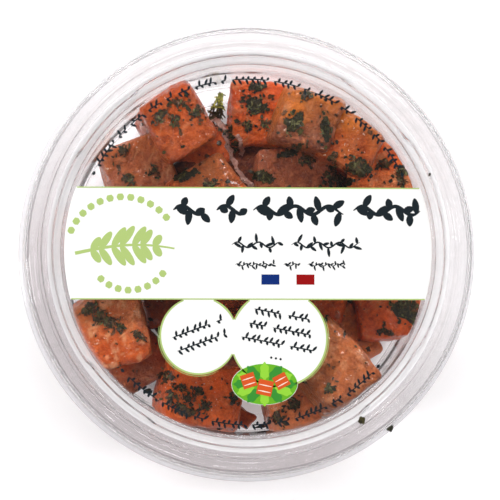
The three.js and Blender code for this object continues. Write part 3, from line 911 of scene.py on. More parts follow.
LOWER_DICE = [
    (-27.6, 22.4, 2.2, 17, 17, 14.8, 20, 2, 3, "brown", "mauve", 0.5),
    (-9.9, 15.8, 2.2, 18.6, 16.2, 15.6, 32, -3, 3, "brown", "orange", 0.3),
    (-10.2, 28.4, 2.2, 13.5, 10.5, 12, 12, 5, -4, "red", "reddish", 0.1),
    (-20.5, 35, 2.2, 13, 12.5, 15.5, 28, 0, 2, "reddish", "mauve", 0.2),
    (4.5, 37.4, 2.2, 15, 15.6, 17.5, -4, 3, -3, "red", "orange", 0.6),
    (15, 35.5, 2.2, 13, 12, 15, -10, 2, 0, "orange", "mauve", 0.2),
    (13.6, 21, 2.2, 20, 15.5, 17, 8, 3, 2, "mauve", "mauve", 0.05),
    (36, 21.8, 2.2, 17.5, 17.5, 17.5, -8, 4, 5, "bright", "pale", 0.9),
    (29, 32.5, 2.2, 14, 13.5, 13.5, -38, -3, 4, "pale", "red", 0.4),
    (-18.8, -10.8, 2.2, 15, 15, 14.5, 10, 3, 2, "mauve", "reddish", 0.2),
    (-28.5, -27.5, 2.2, 15.5, 14.5, 13.5, 35, 3, -3, "red", "mauve", 0.3),
    (-11.2, -34.6, 2.2, 20.8, 19, 18, -8, -3, 3, "bright", "orange", 0.25),
    (14.6, -37, 2.2, 17.5, 14.8, 15.5, 18, -4, 4, "mauve", "pale", 0.7),
    (27, -21.2, 2.2, 13, 14, 14.5, 32, 4, -3, "brown", "pale", 0.5),
    (38, -13.6, 2.2, 16.5, 17, 17.5, 8, 4, 4, "reddish", "red", 0.4),
    (19.6, -9.8, 2.2, 15, 15.2, 16, -15, -3, -3, "bright", "red", 0.3),
    (-2, -8.5, 2.2, 15, 14.5, 15, 20, 2, 2, "reddish", "reddish", 0.2),
    (-36.4, 2.4, 2.2, 15.5, 16.5, 14.5, -5, -3, -4, "orange", "mauve", 0.3),
    (34.2, 2.6, 2.2, 15.5, 15.5, 15, 12, 3, 4, "orange", "brown", 0.3),
]
SCRAPS = [
    (-0.6, -42.4, 2.2, 6.5, 4.2, 5.5, -30, 4, 0, "orange", "orange", 0.3),
    (25.4, 23.4, 2.2, 7.5, 7, 12, 20, 4, 3, "reddish", "mauve", 0.3),
]
# The fish's own colours. The dark mauve tone is partly painted shade, for dice that lie in shade.
TONES = {
    "bright": colour(192, 76, 20),
    "orange": colour(172, 72, 24),
    "amber": colour(196, 106, 30),
    "reddish": colour(160, 66, 28),
    "red": colour(180, 72, 30),
    "brown": colour(150, 80, 42),
    "mauve": colour(128, 68, 46),
    "pale": colour(192, 106, 60),
}
# How much lighter a low die is coloured, as painted light
LOW_PAINTED_LIGHT = 1.6
DIE_UNEVEN = 0.09
DIE_BEVEL = 0.055
DIE_SWELL = 1.06
VOXEL = 0.5
ROOF = PANEL_TOP - 1.6


# %% Draws that match the CAD model's, and the room inside the tub
def draws_from(seed):
    """Draws between -1 and 1 that are the same on every run."""
    state = seed
    while True:
        state = state * 16807 % 2147483647
        yield 2 * state / 2147483647 - 1


def wall_radius(z):
    """Radius of the tub wall's inside face at a height in millimetres."""
    share = (z - FLOOR_TOP) / (WALL_HEAD_Z - FLOOR_TOP)
    return WALL_FOOT + (WALL_HEAD - WALL_FOOT) * share


def pressed_inside(point):
    """A point in millimetres, pushed back to the floor, the wall or the roof that it passes."""
    z = min(max(point.z, FLOOR_TOP + GAP), ROOF)
    limit = wall_radius(z) - 2 * GAP
    radius = math.hypot(point.x, point.y)
    share = min(1, limit / radius) if radius > 0 else 1
    return Vector((point.x * share, point.y * share, z))


# %% One die, from a cube
def make_die(name, die, seed):
    x, y, foot, width, depth, height, turn, lean_x, lean_y, far_tone, near_tone, fatty = die
    size = Vector((width, depth, height))
    draw = draws_from(seed)
    start_clean()
    bpy.ops.mesh.primitive_cube_add(size=1, location=(0, 0, 0))
    piece = bpy.context.object
    piece.name = name
    bpy.ops.object.mode_set(mode="EDIT")
    bpy.ops.mesh.select_all(action="SELECT")
    bpy.ops.transform.resize(value=size * MM * DIE_SWELL, center_override=(0, 0, 0))
    bpy.ops.object.mode_set(mode="OBJECT")
    corners = sorted(piece.data.vertices, key=lambda v: (v.co.z > 0, v.co.y > 0, v.co.x > 0))
    for corner in corners:
        stray = Vector((next(draw), next(draw), next(draw))) * DIE_UNEVEN
        corner.co += Vector(a * b for a, b in zip(stray, size)) * MM
    bpy.ops.object.mode_set(mode="EDIT")
    bpy.ops.mesh.select_all(action="SELECT")
    bpy.ops.mesh.bevel(offset=DIE_BEVEL * min(size) * MM, segments=1, affect="EDGES")
    bpy.ops.object.mode_set(mode="OBJECT")
    soften = piece.modifiers.new("soften", "SUBSURF")
    soften.levels = soften.render_levels = 2
    even = piece.modifiers.new("even", "REMESH")
    even.mode = "VOXEL"
    even.voxel_size = VOXEL * MM
    apply_all(piece)
    relieve(piece, seed, fatty)
    lie = Euler((math.radians(lean_x), math.radians(lean_y), math.radians(turn)), "XYZ")
    spot = Matrix.Translation(Vector((x, y, foot + height / 2)) * MM)
    piece.data.transform(spot @ lie.to_matrix().to_4x4())
    for vertex in piece.data.vertices:
        vertex.co = pressed_inside(vertex.co / MM) * MM
    # A low die is coloured lighter: painted light for the light that reaches down into the heap.
    light = LOW_PAINTED_LIGHT if foot < height / 2 else 1
    tint_die(piece, y, depth, TONES[far_tone], TONES[near_tone], light, seed)
    return piece


# %% Tone of a die
def tint_die(piece, y, depth, far, near, light, seed):
    """Colours a die from its far to its near half, and paints a low one lighter: painted light for
    the light that soaks down into the heap.
    """
    shift = Vector((seed, 2 * seed, 0)) * 0.37
    levels = []
    for vertex in piece.data.vertices:
        spot = vertex.co / MM
        share = 0.5 + (spot.y - y) / depth * 1.3 + 0.7 * noise.noise(spot / 6 + shift)
        share = min(1, max(0, share))
        levels += [min(1, light * (a * share + b * (1 - share))) for a, b in zip(far, near)]
    tint = piece.data.attributes.new("tone", "FLOAT_COLOR", "POINT")
    tint.data.foreach_set("color", levels)


# %% Relief and fat lines of the flesh
def relieve(piece, seed, fatty):
    """Moves a surface into unevenness and grooves, and marks the fat in its lines and spots."""
    chance = random.Random(seed)
    axis = Vector((chance.uniform(-1, 1), chance.uniform(-1, 1), chance.uniform(-0.7, 0.7)))
    axis.normalize()
    across = axis.orthogonal()
    spacing = chance.uniform(3.4, 4.8)
    shift = Vector([chance.uniform(0, 90) for _ in range(3)])
    fat = piece.data.attributes.new("fat", "FLOAT", "POINT")
    shares = []
    moved = []
    for vertex in piece.data.vertices:
        spot = vertex.co / MM
        broad = noise.noise(spot / 8 + shift)
        middle = noise.noise(spot / 2.6 + shift)
        fine = noise.noise(spot / 1.1 + shift)
        sheet = (spot.dot(axis) + 0.35 * abs(spot.dot(across)) + 2.4 * broad + 0.5 * middle) / spacing
        near = abs(sheet - math.floor(sheet) - 0.5) / 0.5
        groove = max(0, 1 - (1 - near) / 0.16) ** 2
        groove *= max(0, min(1, 0.6 + 1.6 * noise.noise(spot / 6 + 2 * shift)))
        patch = max(0, min(1, 5 * (0.7 * noise.noise(spot / 3 + 3 * shift) + 0.5 * fine - 0.16)))
        shares.append(min(1, groove * (0.4 + fatty) + 0.75 * fatty * patch))
        moved.append(0.7 * broad + 0.3 * middle + 0.16 * fine - 0.3 * groove)
    normals = [vertex.normal.copy() for vertex in piece.data.vertices]
    for vertex, normal, height in zip(piece.data.vertices, normals, moved):
        vertex.co += normal * height * MM
    fat.data.foreach_set("value", shares)


# %% Make the dice
FIRST_SEED = 101
SEED_STEP = 37


def make_dice(name, dice, made_before):
    """The dice of one list, with seeds that go on from the dice made before."""
    first = FIRST_SEED + SEED_STEP * made_before
    return [make_die(f"{name}_{i}", die, first + SEED_STEP * i) for i, die in enumerate(dice)]


upper = make_dice("upper", UPPER_DICE, 0)
lower = make_dice("lower", LOWER_DICE, len(UPPER_DICE))
scraps = make_dice("scrap", SCRAPS, len(UPPER_DICE) + len(LOWER_DICE))
upper_dice = join_all("dice_upper", upper)
half = len(lower) // 2
far_dice = join_all("dice_lower_far", lower[:half])
near_dice = join_all("dice_lower_near", lower[half:] + scraps)
for layer in (upper_dice, far_dice, near_dice):
    take(layer)
    bpy.ops.object.shade_smooth()
print("dice:", len(UPPER_DICE) + len(LOWER_DICE), "and scraps:", len(SCRAPS))

# %% [markdown]
# ## Flesh finish
# Cured salmon is moist and lets light a little way in, so the shader has some subsurface and
# a thin coat where the film of brine is thick. Its colour is the die's tone attribute, with
# darker, redder blotches where the cure has dried it, an orange mottle, dark fibres, lines of
# fat from the attribute that the relief left, and near-white specks that are painted glints,
# highlights of the wet surface. One noise for all of them
# would be simpler, but then every mark would be of one size, as on stone.


# %% Salmon finish
DARKENED = (0.5, 0.42, 0.42, 1)
WARMED = (0.16, 0.045, 0.008, 1)
FAT = colour(222, 152, 104)
# Near-white of the painted glints, the highlights of wet flesh
GLINT_WHITE = colour(250, 226, 200)


def salmon_flesh():
    material, graph = new_material("salmon_flesh")
    tone = graph.attribute("tone", 0)
    fat = graph.attribute("fat", 2)
    blotches = graph.steps(graph.grain(4.5, detail=5), 0.44, 0.66)
    mottle = graph.steps(graph.grain(1.3, detail=5, roughness=0.65), 0.36, 0.64)
    fibres = graph.grain(0.45, detail=4, roughness=0.7)
    # Small near-white specks: painted glints of wet highlight
    specks = graph.steps(graph.grain(0.7, detail=3, roughness=0.6), 0.63, 0.69)
    painted_glints = specks * graph.steps(graph.grain(4), 0.5, 0.62)
    dark = graph.mix(tone, DARKENED, 1.0, blend="MULTIPLY")
    light = graph.mix(tone, WARMED, 1.0, blend="ADD")
    base = graph.mix(tone, dark, 0.8 * blotches)
    base = graph.mix(base, light, 0.75 * mottle)
    base = graph.mix(base, dark, 0.4 * graph.steps(fibres, 0.5, 0.68))
    base = graph.mix(base, FAT, 0.75 * fat)
    base = graph.mix(base, GLINT_WHITE, 0.8 * painted_glints)
    wet = graph.grain(1.8, detail=3)
    film = graph.steps(graph.grain(2.4, detail=3), 0.5, 0.62)
    graph.surface(
        graph.node(
            "ShaderNodeBsdfPrincipled",
            {},
            {
                "Base Color": base,
                "Roughness": 0.16 + 0.34 * wet,
                "Normal": graph.bump(fibres + mottle, 0.34),
                "Subsurface Weight": 0.12,
                "Subsurface Radius": (1.0, 0.35, 0.15),
                "Subsurface Scale": 1.8 * MM,
                "Specular IOR Level": 0.42,
                "Coat Weight": 0.9 * film,
                "Coat Roughness": 0.06,
                "IOR": 1.4,
            },
        )
    )
    return material


flesh = salmon_flesh()
finish_piece(upper_dice, flesh, "salmon_dice")
finish_piece(far_dice, flesh, "salmon_dice")
finish_piece(near_dice, flesh, "salmon_dice")

# %% [markdown]
# ## The heap's core
# Under the dice that show lies more fish, which nobody sees but in the deepest gaps. The CAD
# model has a low core there. A layer of further dice could stand in for it, but they would
# cost many faces for little to see. So the core is made again from a cylinder: its rim is
# bevelled, a voxel remesh gives it even faces, and the flesh's relief is moved into it. Its
# flesh is coloured very dark, as painted shade for those deep gaps.

# %% Core
CORE_RADIUS = 33
CORE_TOP = 14
CORE_SHRINK = 0.93
CORE_BEVEL = 2.5
CORE_VOXEL = 0.9
CORE_SEED = 7
# A very dark flesh colour: painted shade for the deep gaps between the dice
CORE_SHADE_TONE = colour(84, 34, 26)
start_clean()
bpy.ops.mesh.primitive_cylinder_add(
    vertices=28,
    radius=CORE_RADIUS * CORE_SHRINK * MM,
    depth=(CORE_TOP - FLOOR_TOP - GAP) * MM,
    location=(0, 0, 0),
)
core = bpy.context.object
core.name = "heap_core"
bpy.ops.object.mode_set(mode="EDIT")
bpy.ops.mesh.select_all(action="SELECT")
bpy.ops.mesh.bevel(offset=CORE_BEVEL * MM, segments=3, affect="EDGES")
bpy.ops.object.mode_set(mode="OBJECT")
even = core.modifiers.new("even", "REMESH")
even.mode = "VOXEL"
even.voxel_size = CORE_VOXEL * MM
apply_all(core)
relieve(core, CORE_SEED, 0)
core.data.transform(Matrix.Translation((0, 0, (CORE_TOP + FLOOR_TOP + GAP) / 2 * MM)))
for vertex in core.data.vertices:
    vertex.co = pressed_inside(vertex.co / MM) * MM
tint = core.data.attributes.new("tone", "FLOAT_COLOR", "POINT")
tint.data.foreach_set("color", list(CORE_SHADE_TONE) * len(core.data.vertices))
take(core)
bpy.ops.object.shade_smooth()
finish_piece(core, flesh, "salmon_dice")

# %% [markdown]
# ## Dill
# Chopped dill is leaf scraps, short needles and bits of stem. Each bit is a flat shape of a few
# faces. It is dropped onto the fish point by point, like wet leaf that clings, by a ray
# straight down, and then Solidify gives it the thickness of a leaf. Shrinkwrap would drop a
# whole sheet as well, but it would stretch a bit that hangs over an edge. The larger clumps
# lie where the photo shows them, each a seeded scatter that is densest at its middle.

# %% Places of the larger bits: x, y, length, width and turn
DILL = [
    (-18.2, 38.4, 3.1, 1.8, -8),
    (-22.6, 35.1, 4.2, 2, 35),
    (-18.7, 34.1, 2.3, 2.8, 5),
    (-13.6, 36, 3.4, 2.6, 40),
    (-32, 27.4, 3.6, 1.7, 40),
    (-30.5, 20.1, 3.6, 2.1, -25),
    (-23.4, 22.1, 2.4, 2.3, 60),
    (-15.5, 20.8, 6.9, 2, 20),
    (-8.8, 19.1, 3.2, 1.6, 15),
    (3.1, 44, 4.6, 1.9, 5),
    (2.8, 39.2, 5.4, 4.2, -20),
    (0.5, 34.2, 2.4, 1.6, 0),
    (5.1, 34.5, 2, 2, 30),
    (15.2, 40.8, 2.6, 1.5, 30),
    (11.9, 33.5, 5, 3.6, 40),
    (20.2, 31.9, 6.7, 2.5, -85),
    (12.5, 27.1, 7.1, 1.9, 20),
    (16.1, 24.9, 3.3, 2.3, -15),
    (22.2, 24.8, 3, 1.4, 80),
    (4.6, 20.4, 5, 2.3, -8),
    (28.4, 22.8, 3.6, 3.4, 50),
    (29.4, 22.1, 5, 3.4, -20),
    (36.6, 24.1, 3, 1.8, 15),
    (41.5, 22.9, 3, 2.8, 50),
    (41.1, 20.1, 2.6, 2.4, -60),
    (-40.2, -14.3, 3.6, 2.6, 30),
    (-37.6, -16.9, 3.6, 2.1, -15),
    (-35.4, -18.3, 3.6, 2.5, -30),
    (-32.9, -19.3, 2.4, 1.6, -40),
    (-28, -21.6, 2.7, 1.6, -20),
    (-20.6, -31.9, 2.4, 3, 70),
    (-17, -34.6, 2.2, 2.1, 20),
    (-19.7, -37, 2.2, 2.6, 0),
    (-14.9, -37.6, 2.4, 2.6, 40),
    (-12.7, -35.5, 2.2, 2.1, -10),
    (-10.7, -39.4, 2.4, 2.3, 25),
    (-17, -40.3, 3.6, 2.6, -15),
    (-14.3, -41.1, 2.6, 2.1, 15),
    (-2.8, -37.6, 3.6, 1.5, 60),
    (21.2, -35, 2.6, 2, 35),
    (12.4, -39.1, 3.6, 3, 20),
    (8.6, -42.6, 3.1, 3, 60),
    (42.7, -15.3, 7.2, 3.4, -25),
    (41.8, -12.7, 3.6, 2.1, 10),
    (36.3, -20.1, 3.1, 1.4, -10),
    (23, 20.6, 4.4, 3.2, 60),
    (26, 19.4, 4, 3.2, 20),
    (44.6, -13.6, 2.6, 2, 60),
]
GAP_TUFTS = [
    (-7.5, 37.8, 2.6, 1.8, 80),
    (-5.7, 35.2, 3.4, 2.6, 70),
    (-4.6, 32.8, 2.2, 1.6, 40),
    (-3.6, 31.2, 2, 1.4, 60),
    (-2.6, 28.6, 2.6, 2.4, 70),
]
FLOOR_BITS = [
    (34, -26, 2, 1.7, 20),
    (36.6, -24.1, 0.8, 0.8, 0),
    (32.1, -29.1, 2.4, 1.3, 35),
    (5.7, -45.1, 4, 1.6, 5),
    (-36.2, 20, 1.1, 1, 0),
    (-35.7, 18.2, 1.6, 1.2, 60),
    (-25, -35.6, 2, 1.4, 10),
]


# %% Dill leaf finish
def dill_leaf(name):
    material, graph = new_material(name)
    tone = graph.attribute("tone", 0)
    veins = graph.grain(0.7, detail=4, roughness=0.65)
    shade = graph.mix(tone, (0.4, 0.42, 0.35, 1), 1.0, blend="MULTIPLY")
    graph.surface(
        graph.node(
            "ShaderNodeBsdfPrincipled",
            {},
            {
                "Base Color": graph.mix(shade, tone, graph.steps(veins, 0.36, 0.62)),
                "Roughness": 0.2 + 0.3 * veins,
                "Specular IOR Level": 0.35,
                "Normal": graph.bump(veins, 0.15),
            },
        )
    )
    return material


LEAF_TONES = [
    colour(36, 37, 18),
    colour(48, 47, 21),
    colour(56, 48, 24),
    colour(76, 70, 32),
    colour(42, 35, 20),
]
SOAKED_TONES = [colour(92, 58, 30), colour(112, 68, 38), colour(72, 54, 28)]
FRESH_TONES = [colour(118, 124, 36), colour(178, 176, 62)]
LIT_TONES = [colour(92, 92, 46), colour(120, 118, 72)]
leaf_finish = dill_leaf("dill_leaf")


# %% Shapes of a scrap and of a needle
def scrap_shape(length, width, chance):
    """A torn bit of leaf: two rings of points round a middle one, with a ragged edge."""
    count = 11
    points = [(0, 0)]
    edge = [1 + 0.42 * chance.uniform(-1, 1) for _ in range(count)]
    for share in (0.6, 1):
        for i in range(count):
            angle = 2 * math.pi * i / count
            reach = share * (edge[i] if share == 1 else 0.5 + edge[i] / 2)
            points.append((length / 2 * reach * math.cos(angle), width / 2 * reach * math.sin(angle)))
    faces = []
    for i in range(count):
        j = (i + 1) % count
        faces.append((0, 1 + i, 1 + j))
        faces.append((1 + i, 1 + count + i, 1 + count + j, 1 + j))
    return points, faces


def needle_shape(length, width, bend):
    """A needle or a stem: a strip of a few faces, narrower at its ends."""
    steps = 7
    points = []
    for i in range(steps + 1):
        share = i / steps
        half = width / 2 * (0.35 + 0.65 * math.sin(math.pi * min(max(share, 0.08), 0.92)))
        x = length * (share - 0.5)
        y = bend * length * (share - 0.5) ** 2
        points += [(x, y - half), (x, y + half)]
    faces = [(2 * i, 2 * i + 2, 2 * i + 3, 2 * i + 1) for i in range(steps)]
    return points, faces


# %% How high the fish or the floor lies
def heights_of(*pieces):
    """A function that gives the height in millimetres of what lies under x, y."""
    trees = []
    for piece in pieces:
        points = [vertex.co for vertex in piece.data.vertices]
        trees.append(BVHTree.FromPolygons(points, [face.vertices for face in piece.data.polygons]))

    def height_at(x, y):
        found = []
        for tree in trees:
            hit = tree.ray_cast(Vector((x, y, HEIGHT)) * MM, Vector((0, 0, -1)))
            if hit[0] is not None:
                found.append(hit[0].z / MM)
        return max(found) if found else None

    return height_at


on_fish = heights_of(upper_dice, far_dice, near_dice, core)


def on_floor(x, y):
    return FLOOR_TOP + 0.05


def on_fish_or_floor(x, y):
    return on_fish(x, y) or on_floor(x, y)


print(f"height of the fish near the middle: {on_fish(0, 20):.1f} mm")


# %% Bits of dill that are laid one by one
PATCH_AREA = 2.5
BIT_DENSITY = 2.2
NEEDLE_DENSITY = 0.7
CLIFF = 1.6


class Leaves:
    """Bits of dill that become one piece."""

    def __init__(self, name, seed):
        self.name = name
        self.points = []
        self.faces = []
        self.tones = []
        self.chance = random.Random(seed)

    def lay(self, shape, x, y, turn, tone, height_at, lift):
        """Turns a flat shape, moves it to x, y and drops each of its points."""
        flat, faces = shape
        first = len(self.points)
        c, s = math.cos(math.radians(turn)), math.sin(math.radians(turn))
        middle = height_at(x, y)
        if middle is None:
            return False
        for px, py in flat:
            place_x = x + px * c - py * s
            place_y = y + px * s + py * c
            height = height_at(place_x, place_y)
            if height is None or abs(height - middle) > CLIFF:
                height = middle - 0.35 * math.hypot(px, py)
            curl = 0.05 + lift * self.chance.uniform(0.3, 1)
            self.points.append((place_x, place_y, height + curl))
            self.tones += list(tone)
        self.faces += [tuple(first + i for i in face) for face in faces]
        return True

    def tuft(self, x, y, length, width, turn, height_at, tones):
        """A clump, densest at its middle: patches of leaf, small bits and needles over them."""
        c, s = math.cos(math.radians(turn)), math.sin(math.radians(turn))

        def somewhere(spread):
            along = length / 2 * spread * self.chance.gauss(0, 0.55)
            across = width / 2 * spread * self.chance.gauss(0, 0.55)
            return x + along * c - across * s, y + along * s + across * c

        def turned():
            return self.chance.uniform(0, 180)

        for _ in range(3 + int(length * width / PATCH_AREA)):
            size = self.chance.uniform(0.3, 0.55) * min(3.2, length)
            shape = scrap_shape(size, size * self.chance.uniform(0.5, 0.9), self.chance)
            self.lay(shape, *somewhere(0.8), turned(), self.chance.choice(tones[:3]), height_at, 0.12)
        for _ in range(7 + int(length * width * BIT_DENSITY)):
            size = self.chance.uniform(0.4, 1.2)
            shape = scrap_shape(size, size * self.chance.uniform(0.4, 0.9), self.chance)
            self.lay(shape, *somewhere(1.2), turned(), self.chance.choice(tones), height_at, 0.2)
        for _ in range(3 + int(length * width * NEEDLE_DENSITY)):
            shape = needle_shape(
                self.chance.uniform(0.8, 1.7),
                self.chance.uniform(0.22, 0.42),
                self.chance.uniform(-0.5, 0.5),
            )
            place, turn = somewhere(1.0), turned()
            self.lay(shape, *place, turn, self.chance.choice(tones + LIT_TONES), height_at, 0.45)

    def piece(self, material, slot, thickness, node=None, inside=True):
        made = new_piece(self.name, self.points, faces=self.faces)
        if inside:
            for vertex in made.data.vertices:
                vertex.co = pressed_inside(vertex.co / MM) * MM
        tint = made.data.attributes.new("tone", "FLOAT_COLOR", "POINT")
        tint.data.foreach_set("color", self.tones)
        thick = made.modifiers.new("thickness", "SOLIDIFY")
        thick.thickness = thickness * MM
        thick.offset = 1
        apply_all(made)
        bpy.ops.object.shade_smooth_by_angle(angle=math.radians(50))
        finish_piece(made, material, node)


# %% Clumps on the fish
dill = Leaves("dill_on_fish", 41)
for i, (x, y, length, width, turn) in enumerate(DILL):
    tones = (LEAF_TONES[i % 3 :] + SOAKED_TONES) if i % 3 else (SOAKED_TONES + LEAF_TONES)
    if width < 0.45 * length:
        dill.lay(needle_shape(length, 0.8 * width, 0.1), x, y, turn, LEAF_TONES[i % 3], on_fish, 0.1)
        dill.tuft(x, y, 0.8 * length, width, turn, on_fish, LEAF_TONES)
    elif length > 4.6:
        for shift in (-0.2, 0.2):
            along = shift * length
            c, s = math.cos(math.radians(turn)), math.sin(math.radians(turn))
            shape = scrap_shape(0.7 * length, 0.9 * width, dill.chance)
            dill.lay(shape, x + along * c, y + along * s, turn, LEAF_TONES[i % 2], on_fish, 0.12)
        dill.tuft(x, y, 1.1 * length, 1.1 * width, turn, on_fish, LEAF_TONES[1:])
    else:
        dill.tuft(x, y, 1.1 * length, 1.1 * width, turn, on_fish, tones)
for x, y, length, width, turn in GAP_TUFTS:
    dill.tuft(x, y, length, width, turn, on_fish_or_floor, LEAF_TONES)
dill.piece(leaf_finish, "dill", 0.16, "salmon_dice")

# %% Loose small bits on the fish: how many, and their least and greatest size
LOOSE_BITS = ((260, 0.3, 0.9), (110, 0.9, 1.8))
LOOSE_RADIUS = 46
loose = Leaves("dill_loose_bits", 42)
for count, low, high in LOOSE_BITS:
    for _ in range(count):
        radius = LOOSE_RADIUS * math.sqrt(loose.chance.random())
        angle = loose.chance.uniform(0, 2 * math.pi)
        size = loose.chance.uniform(low, high)
        shape = scrap_shape(size, size * loose.chance.uniform(0.5, 0.9), loose.chance)
        x, y = radius * math.cos(angle), radius * math.sin(angle)
        tone = loose.chance.choice(LEAF_TONES + 3 * SOAKED_TONES)
        loose.lay(shape, x, y, loose.chance.uniform(0, 180), tone, on_fish, 0.05)
loose.piece(leaf_finish, "dill", 0.16, "salmon_dice")

# %% Bits on the tub's floor
floor_dill = Leaves("dill_on_floor", 43)
for x, y, length, width, turn in FLOOR_BITS:
    tone = floor_dill.chance.choice(LEAF_TONES)
    floor_dill.lay(scrap_shape(length, width, floor_dill.chance), x, y, turn, tone, on_floor, 0.25)
floor_dill.piece(leaf_finish, "dill", 0.16)

# %% [markdown]
# ## The sprig
# One sprig stands out between two dice, fresh yellow-green at its tip and dark at its foot. It
# is a bent stem with many short needles that fan out from it, each laid as a strip and lifted
# by a seeded draw, so that the sprig is as deep and as ragged as a real frond end.

# %% Sprig
SPRIG_BOX = [[value / MM for value in corner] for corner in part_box("dill_sprig")]
SPRIG_TURN = 80
SPRIG_LENGTH = 7.4
SPRIG_HALF_WIDTH = 2.1
SPRIG_NEEDLES = 120
TIP_TONES = [FRESH_TONES[1], FRESH_TONES[1], FRESH_TONES[0], LEAF_TONES[1]]
sprig = Leaves("sprig_needles", 47)
sprig_x = (SPRIG_BOX[0][0] + SPRIG_BOX[1][0]) / 2
sprig_y = (SPRIG_BOX[0][1] + SPRIG_BOX[1][1]) / 2
c, s = math.cos(math.radians(SPRIG_TURN)), math.sin(math.radians(SPRIG_TURN))


def sprig_height(x, y):
    """Height of the sprig's arch at x, y: low at its two ends."""
    along = (x - sprig_x) * c + (y - sprig_y) * s
    share = min(1, abs(along) / (SPRIG_LENGTH / 2))
    return SPRIG_BOX[0][2] + 0.2 + 1.1 * math.cos(math.pi / 2 * share)


stalk = needle_shape(SPRIG_LENGTH, 0.5, 0.05)
sprig.lay(stalk, sprig_x, sprig_y, SPRIG_TURN, LEAF_TONES[3], sprig_height, 0.05)
for i in range(SPRIG_NEEDLES):
    share = i / (SPRIG_NEEDLES - 1)
    along = SPRIG_LENGTH * 0.92 * (share - 0.5)
    out = SPRIG_HALF_WIDTH * sprig.chance.uniform(-1, 1) * math.sin(math.pi * min(0.9, 0.25 + share))
    px = sprig_x + along * c - out * s
    py = sprig_y + along * s + out * c
    if share > 0.4:
        tone = sprig.chance.choice(TIP_TONES)
    else:
        tone = sprig.chance.choice(LEAF_TONES)
    shape = needle_shape(sprig.chance.uniform(0.9, 1.9), sprig.chance.uniform(0.3, 0.5), 0.3)
    turn = SPRIG_TURN - 30 * out + sprig.chance.gauss(0, 30)
    sprig.lay(shape, px, py, turn, tone, sprig_height, 0.55)
sprig.piece(leaf_finish, "dill", 0.14, "dill_sprig")

# %% [markdown]
# ## A strip of skin, and crumbs on the rim
# Between the far dice hangs a pale strip of the membrane that lies under a salmon's skin. It
# is a ribbon with ragged edges and a short shred beside it, both laid on the fish like the
# dill, with their heights evened out so that they bridge the gaps. Cloth simulation would
# drape them as well, but it would need a long run for so small a strip. A few crumbs of dill
# stuck to the rim when the pack was shut. They are torn scraps like the others, at the level
# where each one stuck.

# %% Strip of skin
SKIN_PATHS = (
    (
        (-8.2, 38.6),
        (-6.6, 35.8),
        (-4.9, 32.6),
        (-4.3, 29.2),
        (-3.2, 25.6),
        (-0.9, 21.6),
        (1.6, 18.6),
        (2.6, 17),
    ),
    ((-2.3, 31.4), (-1.3, 30.2), (-0.7, 28.6), (-1.0, 26.8)),
)
SKIN_ROWS = 5
SKIN_PALE = colour(196, 150, 134)
SKIN_DARK = colour(150, 98, 80)


def skin_finish():
    material, graph = new_material("pale_membrane")
    cloud = graph.grain(1.6, detail=4)
    fibres = graph.grain(0.5, detail=3)
    graph.surface(
        graph.node(
            "ShaderNodeBsdfPrincipled",
            {},
            {
                "Base Color": graph.mix(SKIN_PALE, SKIN_DARK, graph.steps(cloud, 0.4, 0.65)),
                "Roughness": 0.25 + 0.3 * fibres,
                "Normal": graph.bump(fibres, 0.2),
                "Alpha": 0.45 + 0.5 * graph.steps(cloud, 0.35, 0.6),
                "Coat Weight": 0.3 * cloud,
            },
        )
    )
    return material


def evened(values, reach):
    """Each value raised to its neighbours' highest, then averaged over them."""
    places = range(len(values))
    high = [max(values[max(0, i - reach) : i + reach + 1]) for i in places]
    windows = [high[max(0, i - reach) : i + reach + 1] for i in places]
    return [sum(window) / len(window) for window in windows]


def lay_skin(points, faces, path, chance):
    """Adds one ragged ribbon along a path of x, y to the mesh lists."""
    steps = 12
    line = []
    for (x0, y0), (x1, y1) in zip(path, path[1:]):
        line += [(x0 + (x1 - x0) * i / steps, y0 + (y1 - y0) * i / steps) for i in range(steps)]
    line = [(x + 0.25 * math.sin(y * 2.1), y + 0.2 * math.sin(x * 1.7)) for x, y in line]
    heights = evened([on_fish_or_floor(x, y) for x, y in line], 5)
    first = len(points)
    for i, (x, y) in enumerate(line):
        x0, y0 = line[max(0, i - 1)]
        x1, y1 = line[min(len(line) - 1, i + 1)]
        size = math.hypot(x1 - x0, y1 - y0)
        side_x, side_y = -(y1 - y0) / size, (x1 - x0) / size
        half = 0.65 + 0.35 * noise.noise(Vector((x, y, 0)) * 0.4) + chance.uniform(-0.22, 0.22)
        for row in range(SKIN_ROWS):
            across = half * (2 * row / (SKIN_ROWS - 1) - 1)
            sag = 0.25 * noise.noise(Vector((x, y, row)) * 0.9)
            points.append((x + side_x * across, y + side_y * across, heights[i] + 0.25 + sag))
    for i in range(len(line) - 1):
        for row in range(SKIN_ROWS - 1):
            corner = first + i * SKIN_ROWS + row
            faces.append((corner, corner + SKIN_ROWS, corner + SKIN_ROWS + 1, corner + 1))


skin_points, skin_faces = [], []
skin_chance = random.Random(59)
for path in SKIN_PATHS:
    lay_skin(skin_points, skin_faces, path, skin_chance)
skin = new_piece("skin_strip", skin_points, faces=skin_faces)
thick = skin.modifiers.new("thickness", "SOLIDIFY")
thick.thickness = 0.12 * MM
apply_all(skin)
bpy.ops.object.shade_smooth_by_angle(angle=math.radians(60))
finish_piece(skin, skin_finish())

